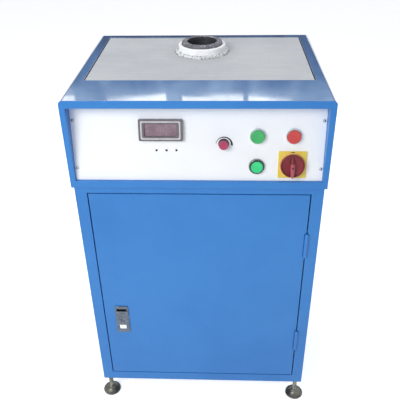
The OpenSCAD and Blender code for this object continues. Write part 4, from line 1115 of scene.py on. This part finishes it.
def fit_buttons():
    rings = []
    for node, x, up, proud, mat, ring_mat in (
        ("start_button", START_X, BUTTON_UP, CAP_PROUD, GREEN, RING),
        ("stop_button", STOP_X, BUTTON_UP, CAP_PROUD, RED, RING),
        ("lit_button", START_X, LIT_UP, LIT_PROUD, LIT, BEZEL),
    ):
        place = on_panel(x, up)
        rings.append(turn_ring(place, ring_mat))
        lens = mat is LIT
        edge = CAP_R - 2.1 if lens else CAP_R
        seen = CAP_R - 1.2 if lens else CAP_R
        side = [(0, -THREAD_LEN), (BORE_R - 0.2, -THREAD_LEN), (BORE_R - 0.2, TRAVEL + 0.9),
                (CAP_R - 0.3, TRAVEL + 0.9), (CAP_R, TRAVEL + 1.2), (CAP_R, proud - 2.2)]
        if lens:
            side += [(CAP_R, proud - 1), (CAP_R - 0.4, proud - 0.4), (seen, proud - 0.1)]
            face = [(edge - 0.1, proud - 0.2), (edge - 1.4, proud), (edge - 2.4, proud - 0.05)]
        else:
            face = [(seen, proud - 2.2), (seen, proud - 0.9), (seen - 0.4, proud - 0.3), (seen - 1.2, proud)]
        face += [(edge - 4, proud - 0.35), (0, proud - 0.55)]
        pieces = [
            lathe("side", mm(side), DARK_GREEN if lens else RING, place, 80),
            lathe("face", mm(face), mat, place, 80),
        ]
        if lens:
            gutter = [(seen, proud - 0.1), (edge - 0.1, proud - 0.9), (edge - 0.1, proud - 0.2)]
            pieces.append(lathe("gutter", mm(gutter), DARK_GREEN, place, 80))
        ride_as(join(node + "_dressed", pieces), node, replace=True)
    ride_as(join("button_rings_dressed", rings), "button_rings", replace=True)
    softened("switch_bodies", 0.8, merge=False)


fit_buttons()


# Isolator
# The rotary isolator has a yellow plate and a dark red handle, whose grip stands on a dished disc and
# points down when the furnace is off; the lower half of the grip is painted a paler red as a painted
# highlight.
# A small screw in the grip holds it on its square shaft.
ISOLATOR_X, ISOLATOR_UP, COLLAR_R, DISC_R = 208.5, 39.5, 28, 26.6
PLATE_SURFACE = {"stain_size": 40.0, "grain_size": 900, "bump": 0.08, "smooth": 0.28, "rough": 0.42,
                 "wear": 0.5, "coat": 0.2}
YELLOW = finish("yellow_plate", (236, 210, 88), (228, 198, 74), (246, 232, 160), **PLATE_SURFACE)
AMBER = finish("amber_collar", (232, 184, 104), (222, 168, 90), (244, 222, 160), **PLATE_SURFACE)
# A paler red than the handle: painted highlight on the lower half of the grip, whose face catches the light.
GRIP_HIGHLIGHT_RED = finish("grip_painted_highlight", (172, 78, 90), (152, 62, 74), (214, 140, 150),
                stain_size=50.0, grain_size=800, bump=0.12, smooth=0.3, rough=0.46, wear=0.5, coat=0.15)
DISH = finish("handle_dish", (126, 30, 42), (106, 22, 34), (176, 78, 84), stain_size=50.0,
              grain_size=800, bump=0.12, smooth=0.4, rough=0.55, wear=0.4)
FINISH_OF_SLOT.update({"plate_yellow": YELLOW, "handle_red": DISH})


def fit_isolator():
    softened("isolator_plate", 0.5, merge=False)
    place = on_panel(ISOLATOR_X, ISOLATOR_UP)
    mark = []
    for name, half, low_up, high_up in (("bar", 3.8, 28.2, 29.9), ("tick", 0.8, 29.8, 30.4)):
        low, high = mm(((-half, low_up, 2.45), (half, high_up, 2.62)))
        mark.append(rounded_box(name, low, high, INK, 0.05 * MM, 1, place))
    ride_as(join("isolator_mark", mark), "isolator_plate")
    r = COLLAR_R
    collar = [(6, 2.4), (r, 2.4), (r, 5.4), (r - 0.3, 6.1), (r - 1, 6.4), (6, 6.4)]
    ride_as(lathe("isolator_collar", mm(collar), AMBER, place, 96), "isolator_plate")
    r = DISC_R
    disc = mm([(5, -20), (5, 6.8), (r - 1.6, 6.8), (r - 0.6, 7.4), (r, 8.6), (r, 12.2), (r - 0.4, 13.2),
               (r - 1.3, 13.8), (r - 2.3, 13.5)])
    dish = mm([(r - 2.3, 13.5), (r - 3.8, 11.4), (r - 6.5, 10.3), (0, 10)])

    def grip(rows, mat):
        """A ridge through cross-sections, each given as its place up the panel, half width, foot and top."""
        shape = bmesh.new()
        rings = []
        for up, half, low, high in rows:
            flank = [(half, low), (half, high - 3), (half * 0.86, high - 1.3), (half * 0.45, high - 0.2)]
            profile = [(-x, z) for x, z in flank] + [(0, high)] + flank[::-1]
            rings.append([shape.verts.new(place @ Vector((x * MM, up * MM, z * MM))) for x, z in profile])
        stitch(shape, rings)
        shape.faces.new(rings[0])
        shape.faces.new(rings[-1])
        return from_bmesh("grip", shape, mat, 40)

    screw_place = place @ Matrix.Translation((0, -3 * MM, 18.9 * MM))
    ride_as(join("isolator_handle_dressed", [
        lathe("disc", disc, DISH, place, 96), lathe("dish", dish, DISH, place, 96),
        # The upper half of the grip keeps the handle's dark red; the lower half takes the paler red as a
        # painted highlight.
        grip(((19, 2.6, 7, 10.8), (15, 4, 7, 12.2), (10, 4.8, 7, 14.6), (6, 5, 7, 17.4)), DISH),
        grip(((6, 4.9, 7, 17.5), (2, 5, 7, 18.7), (-3, 5, 7, 19.4), (-10, 4.8, 8, 20), (-17, 4.2, 8, 20.5),
              (-22, 3.4, 8, 20.8), (-25.5, 2.4, 9.5, 20.6), (-27, 1.3, 10.5, 19.4)), GRIP_HIGHLIGHT_RED),
        # The grip's screw is drawn wholly in the dark recess finish: painted shade of the hole it sits in.
        cross_screw("screw", screw_place, 2.2 * MM, 0.9 * MM, SCREW_SHADOW),
    ]), "isolator_handle", replace=True)


fit_isolator()


# Hearth and coil
# Under the board the crucible stands on a fire brick inside a refractory tube. Round it is the coil,
# wound from copper tube that carries cooling water, and spaced by hard insulating posts.
REFRACTORY = finish("fired_refractory", (214, 200, 172), (186, 164, 132), (236, 228, 208),
                    stain_size=18.0, grain_size=300, bump=0.6, depth=0.3 * MM, smooth=0.8, rough=0.95)
COPPER = finish("copper_tube", (206, 132, 92), (160, 92, 62), (240, 186, 150),
                stain_size=30.0, grain_size=400, bump=0.1, smooth=0.18, rough=0.4, metallic=1.0)
FINISH_OF_SLOT.update({"refractory": REFRACTORY, "copper": COPPER})


def fit_hearth():
    softened("refractory_liner", 0.8, merge=False)
    softened("base_brick", 1.2)
    softened("coil_posts", 0.8)
    coil = from_bmesh("induction_coil_dressed", welded("induction_coil")[1], COPPER, 60)
    ride_as(coil, "induction_coil", replace=True)


fit_hearth()


# Generator
# The generator is built on a zinc-plated sheet across the cabinet: a transformer with copper bars for
# the coil, two capacitor cans, a fan-cooled heat sink with power modules, and the control board.
CORE = finish("dark_lacquered_core", (52, 56, 62), (40, 42, 48), (110, 112, 118),
              stain_size=14.0, grain_size=900, stretch=(0.02, 1, 1), bump=0.5, depth=0.2 * MM,
              smooth=0.4, rough=0.6)
FINS = finish("extruded_aluminium", (196, 198, 202), (178, 180, 186), (226, 228, 230),
              stain_size=12.0, grain_size=900, stretch=(1, 1, 0.03), bump=0.15, smooth=0.26, rough=0.42,
              metallic=1.0)
CIRCUIT = finish("green_circuit_board", (22, 84, 48), (16, 66, 38), (120, 150, 120),
                 stain_size=30.0, grain_size=260, bump=0.1, smooth=0.2, rough=0.36, coat=0.4)
CREAM = finish("cream_moulding", (214, 210, 196), (196, 190, 174), (236, 232, 222),
               stain_size=30.0, grain_size=900, bump=0.15, smooth=0.36, rough=0.55)
RELAY = finish("blue_relay_case", (46, 92, 158), (38, 80, 142), stain_size=60.0, grain_size=900,
               smooth=0.25, rough=0.4, coat=0.3)
SLEEVE = finish("capacitor_sleeve", (34, 44, 70), (26, 36, 60), stain_size=60.0, grain_size=900,
                smooth=0.18, rough=0.3, coat=0.4)
BRASS = finish("turned_brass", (214, 176, 104), (176, 136, 76), (240, 216, 160),
               stain_size=60.0, grain_size=500, stretch=(1, 4, 1), bump=0.12, smooth=0.18, rough=0.38,
               metallic=1.0)
PLATE_FRONT = HEAD_FRONT + 380 * MM
CAPACITOR_BOLTS_X = (94.708, 164.708)
MODULES_X = (-180, -100)
FINISH_OF_SLOT.update({"core_dark": CORE, "finned_aluminium": FINS, "board_green": CIRCUIT,
                       "switch_cream": CREAM, "fitting_brass": BRASS})


def paint_where(piece, mat, test):
    """Gives another finish to the faces whose middle passes the test."""
    piece.data.materials.append(mat)
    index = len(piece.data.materials) - 1
    for polygon in piece.data.polygons:
        if test(polygon.center):
            polygon.material_index = index


def hex_bolt(name, place, radius, mat):
    """A hexagon head on a washer, with its seat at the place's origin and its radius in millimetres."""
    r, wide = radius, radius * 1.35
    return join(name, [
        lathe("washer", mm([(0, 0), (wide, 0), (wide, 1), (0, 1)]), mat, place, 32),
        lathe("head", mm([(r, 1), (r, 4.4), (r * 0.86, 5), (0, 5)]), mat, place, 6),
    ])


def facing_front(x, y, z):
    """A place whose z axis points forwards, for what is screwed on from the front."""
    return Matrix.Translation((x, y, z)) @ Matrix.Rotation(math.pi / 2, 4, "X")


def build_generator():
    softened("mounting_plate", 0.4, 1, merge=False)
    core = softened("output_transformer", 0.8, merge=False)
    core_front = PLATE_FRONT - 94 * MM
    paint_where(core, COPPER, lambda p: p.y < core_front - 2 * MM)
    bank = softened("capacitor_bank", 0.8, merge=False)
    low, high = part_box("capacitor_bank")
    paint_where(bank, COPPER, lambda p: p.z < low.z + 4.2 * MM)
    paint_where(bank, SLEEVE, lambda p: p.z > low.z + 18 * MM)
    bolts = []
    for x in CAPACITOR_BOLTS_X:
        place = Matrix.Translation((x * MM, (low.y + high.y) / 2, low.z)) @ Matrix.Rotation(math.pi, 4, "X")
        bolts.append(hex_bolt("bolt", place, 5, BRASS))
    ride_as(join("capacitor_bolts", bolts), "capacitor_bank")
    sink = softened("heat_sink", 0.4, 1)
    low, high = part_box("heat_sink")
    modules_top = low.z + (high.z - low.z) / 3 - 8 * MM
    paint_where(sink, BLACK, lambda p: p.z < modules_top + 0.5 * MM and p.y < PLATE_FRONT - 10.2 * MM)
    bolts = []
    for middle in MODULES_X:
        for side in (-1, 1):
            for z in (low.z + 14 * MM, modules_top - 6 * MM):
                place = facing_front((middle + side * 24) * MM, PLATE_FRONT - 38 * MM, z)
                bolts.append(cross_screw("screw", place, 3.2 * MM, 2 * MM, DARK_ZINC))
    ride_as(join("module_screws", bolts), "heat_sink")


def build_control_board():
    low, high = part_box("control_board")
    board = softened("control_board", 0.3, 1, merge=False)
    face = PLATE_FRONT - 13 * MM
    paint_where(board, RELAY, lambda p: p.y < face - 0.8 * MM and p.z < low.z + 60 * MM)
    paint_where(board, SLEEVE, lambda p: p.y < face - 0.8 * MM and p.z > low.z + 60 * MM)
    parts = []

    def block(name, x, z, wide, tall, deep, mat, radius, lift=0.0):
        """A moulded block that stands off the board's face."""
        low, high = (x, face - lift - deep, z), (x + wide, face - lift, z + tall)
        parts.append(rounded_box(name, low, high, mat, radius, 1))

    for column in range(6):
        for row in range(2):
            x, z = low.x + (16 + 22 * column) * MM, low.z + (62 + 20 * row) * MM
            wide, tall = random.choice((8, 12, 14)) * MM, random.choice((5, 7, 9)) * MM
            block("chip", x, z, wide, tall, 4 * MM, BLACK, 0.3 * MM, 0.4 * MM)
            for k in range(4):
                leg = x + wide * (k + 0.5) / 4 - 0.3 * MM
                for edge in (z - 1 * MM, z + tall):
                    block("leg", leg, edge, 0.6 * MM, 1 * MM, 2 * MM, CHROME, 0.05 * MM)
    resistor = mm([(0, 0), (1.1, 0.4), (0.88, 1.6), (0.88, 4.4), (1.1, 5.6), (0, 6)])
    for k in range(18):
        x, z = low.x + random.uniform(10, 130) * MM, low.z + random.uniform(100, 112) * MM
        place = Matrix.Translation((x, face - 2 * MM, z)) @ Matrix.Rotation(math.pi / 2, 4, "Y")
        parts.append(lathe("resistor", resistor, CREAM, place, 12))
    for k in range(10):
        x, z = low.x + (14 + 12 * k) * MM, high.z - 14 * MM
        block("clamp", x, z, 11 * MM, 10 * MM, 10 * MM, RELAY if k % 2 else CREAM, 0.5 * MM)
        place = facing_front(x + 5.5 * MM, face - 10 * MM, z + 5 * MM)
        parts.append(cross_screw("screw", place, 2.2 * MM, 0.7 * MM, CHROME))
    ride_as(join("board_components", parts), "control_board")


build_generator()
build_control_board()


# Contactor and wiring
# A cream contactor switches the mains, with a terminal block beside it. Looms of single-core wire run
# from the panel's switches down through the deck to the control board and the contactor.
WIRE_R = 1.7 * MM
CONTACTOR_SCREWS_X = (-185, -173, -157, -145)
BLOCK_X, BLOCK_PITCH, BLOCK_WAYS = 102.5, 19, 6
WIRES = {
    colour: finish(colour + "_wire", seen, stain_size=40.0, smooth=0.3, rough=0.45)
    for colour, seen in (("brown", (112, 66, 42)), ("blue", (46, 84, 150)), ("red", (170, 40, 36)),
                         ("green", (80, 140, 56)))
}
WIRES["black"] = BLACK


def smooth_path(points, steps=7):
    """A curve through the given points."""
    points = [Vector(point) for point in points]
    full = [2 * points[0] - points[1]] + points + [2 * points[-1] - points[-2]]
    path = []
    for a, b, c, d in zip(full, full[1:], full[2:], full[3:]):
        for k in range(steps):
            t = k / steps
            path.append(0.5 * (2 * b + (c - a) * t + (2 * a - 5 * b + 4 * c - d) * t * t
                               + (3 * b - a - 3 * c + d) * t ** 3))
    return path + [points[-1]]


def wire(colour, points):
    """One strand through points in millimetres, with y counted from the front of the mounting plate."""
    path = smooth_path([Vector((x * MM, y * MM + PLATE_FRONT, z * MM)) for x, y, z in points])
    return tube("strand", path, WIRE_R, WIRES[colour], 8)


def build_contactor():
    softened("contactor", 0.9)
    low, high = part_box("contactor")
    screws = []
    for x in CONTACTOR_SCREWS_X:
        for z in (low.z + 14 * MM, high.z - 14 * MM):
            place = facing_front(x * MM, PLATE_FRONT - 62 * MM, z)
            screws.append(cross_screw("screw", place, 3.6 * MM, 1.2 * MM, BRASS))
    for k in range(BLOCK_WAYS):
        x = (BLOCK_X + BLOCK_PITCH * k) * MM
        place = facing_front(x, PLATE_FRONT - 40 * MM, low.z + 11 * MM)
        screws.append(cross_screw("screw", place, 3.8 * MM, 1.2 * MM, BRASS))
        if k:
            near = (x - 10.3 * MM, PLATE_FRONT - 43 * MM, low.z + 0.5 * MM)
            far = (x - 8.7 * MM, PLATE_FRONT - 39.8 * MM, low.z + 33.5 * MM)
            screws.append(rounded_box("rib", near, far, CREAM, 0.3 * MM, 1))
    ride_as(join("contactor_screws", screws), "contactor")


def run_wires():
    """Looms from the panel to the board, the board to the contactor, and the block to the gland."""
    strands = []
    for k, colour in enumerate(("brown", "blue", "red", "black", "green")):
        dx, dy = 5 * math.cos(k * 1.26), 5 * math.sin(k * 1.26)
        strands.append(wire(colour, (
            (130 + 6 * k, -286 + dy, 742), (140 + dx, -285 + dy, 728), (143 + dx, -285 + dy, 700),
            (146 + dx, -276 + dy, 676), (150 + dx, -196 + dy, 655), (150 + dx, -96 + dy, 640 + dx),
            (120 + 12 * k, -38, 560), (106 + 12 * k, -32, 520), (106 + 12 * k, -24, 502))))
    for k, colour in enumerate(("brown", "black", "blue")):
        strands.append(wire(colour, (
            (-185 + 20 * k, -68, 243), (-183 + 20 * k, -80, 262), (-120 + 5 * k, -76 + 4 * k, 292),
            (4 * k, -36 - 6 * k, 300), (70 + 6 * k, -40, 270),
            (BLOCK_X + BLOCK_PITCH * k, -48, 226), (BLOCK_X + BLOCK_PITCH * k, -44, 196))))
    for k, colour in enumerate(("brown", "blue", "green")):
        strands.append(wire(colour, (
            (190 + 5 * (k - 1), 60, 128 + 3 * k), (190 + 5 * (k - 1), 29, 146), (190 + 5 * (k - 1), -6, 154),
            (180 + 4 * k, -36, 150), (160 + 19 * (k - 1), -52, 156), (160 + 19 * (k - 1), -46, 168))))
    ride_as(join("wire_looms", strands), "control_board")


build_contactor()
run_wires()


# Fan
# A black axial fan behind the heat sink draws air through the cabinet and blows it out of the back,
# with swept blades and a wire guard.
HUB_R, BLADE_ROOT, BLADE_TIP, BLADES = 22 * MM, 21 * MM, 53.5 * MM, 7


def fit_fan():
    softened("fan_frame", 0.6, 1, merge=False)
    low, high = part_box("fan_rotor")
    middle = (low + high) / 2
    place = Matrix.Translation((middle.x, 0, middle.z)) @ Matrix.Rotation(math.pi / 2, 4, "X")
    frame_front, frame_back = (corner.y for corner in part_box("fan_frame"))
    near, far = -(frame_front + 5.5 * MM), -(frame_back - 3 * MM)
    cup = [(0, near), (HUB_R - 2 * MM, near), (HUB_R, near - 2 * MM), (HUB_R, far + 1 * MM),
           (HUB_R - 1 * MM, far), (0, far)]
    pieces = [lathe("hub", cup, BLACK, place, 64),
              lathe("shaft", [(3 * MM, -(frame_front + 0.5 * MM)), (3 * MM, near)], DARK_ZINC, place, 24)]
    centre_y = (frame_front + frame_back) / 2 + 1 * MM
    for k in range(BLADES):
        shape = bmesh.new()
        rows = []
        for i in range(7):
            part = i / 6
            radius = BLADE_ROOT + (BLADE_TIP - BLADE_ROOT) * part
            reach = 11.5 * MM * (0.92 + 0.08 * part)
            lift = math.radians(46 - 12 * part)
            row = []
            for j in range(7):
                across = j / 3 - 1
                bow = 1.6 * MM * (1 - across * across)
                side = reach * across * math.cos(lift) + 3 * MM * part
                rise = reach * across * math.sin(lift) * 0.86 + bow
                around = 2 * math.pi * k / BLADES + side / radius
                row.append(shape.verts.new((middle.x + radius * math.cos(around), centre_y + rise,
                                            middle.z + radius * math.sin(around))))
            rows.append(row)
        stitch(shape, rows, closed=False)
        bmesh.ops.solidify(shape, geom=shape.faces[:], thickness=1.4 * MM)
        pieces.append(from_bmesh("blade", shape, BLACK, 50))
    ride_as(join("fan_rotor_dressed", pieces), "fan_rotor", replace=True)


fit_fan()


# Water hoses, fittings and gland
# Cooling water comes in and goes out through brass tails in the back. Red rubber hoses with worm-drive
# clips join them to the copper bars. Beside them are the mains gland and the brass earth stud.
HOSE = finish("red_rubber_hose", (150, 52, 36), (122, 40, 30), (190, 110, 90),
              stain_size=26.0, grain_size=700, bump=0.2, smooth=0.42, rough=0.62)
FINISH_OF_SLOT["hose_red"] = HOSE
HOSE_X, HOSE_Z = 42.708, 125
BARS_Y = HEAD_FRONT + 272 * MM


def hose_clip(place, radius):
    """A worm-drive clip: a slotted band, its screw housing and the screw."""
    r = radius / MM
    band = mm([(r + 0.05, -4.5), (r + 0.9, -4.5), (r + 1, -4), (r + 1, 4), (r + 0.9, 4.5), (r + 0.05, 4.5)])
    low, high = mm(((-6, r + 0.6, -4.5), (6, r + 5.4, 4.5)))
    across = Matrix.Translation((6 * MM, radius + 3 * MM, 0)) @ Matrix.Rotation(math.pi / 2, 4, "Y")
    return [
        lathe("band", band, CHROME, place, 48),
        rounded_box("house", low, high, CHROME, 0.8 * MM, 2, place),
        cross_screw("screw", place @ across, 2.6 * MM, 3 * MM, CHROME),
    ]


def plumb():
    low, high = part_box("water_hoses")
    radius = (high.x - low.x) / 2 - HOSE_X * MM
    hoses = from_bmesh("water_hoses_dressed", welded("water_hoses")[1], HOSE, 50)
    ride_as(hoses, "water_hoses", replace=True)
    clips = []
    for x in (-HOSE_X * MM, HOSE_X * MM):
        clips += hose_clip(Matrix.Translation((x, BARS_Y, high.z - 12 * MM)), radius)
        turn = Matrix.Translation((x, high.y - 12 * MM, HOSE_Z * MM)) @ Matrix.Rotation(-math.pi / 2, 4, "X")
        clips += hose_clip(turn, radius)
    ride_as(join("hose_clips", clips), "water_hoses")
    softened("water_fittings", 0.5, 1)
    softened("cable_gland", 0.6, 1, merge=False)


plumb()


# Floor
# The furnace stands on a pale floor that runs on out of sight.
FLOOR_LIFT = 0.55


def lay_floor():
    mesh = bpy.data.meshes.new("floor")
    half = 12
    corners = [(-half, -half, 0), (half, -half, 0), (half, half, 0), (-half, half, 0)]
    mesh.from_pydata(corners, [], [(0, 1, 2, 3)])
    floor = bpy.data.objects.new("floor", mesh)
    scene.collection.objects.link(floor)
    mat = finish("pale_floor", (250, 250, 250), (248, 248, 248), wear=0.0,
                 grain_size=60, bump=0.0, smooth=0.8, rough=0.9)
    w = Wiring(mat.node_tree)
    shader = mat.node_tree.nodes["Principled BSDF"]
    shader.inputs["Emission Color"].default_value = (1, 1, 1, 1)
    w.give(shader.inputs["Emission Strength"], w.math("MULTIPLY", w.background_rays(), FLOOR_LIFT))
    mesh.materials.append(mat)


lay_floor()
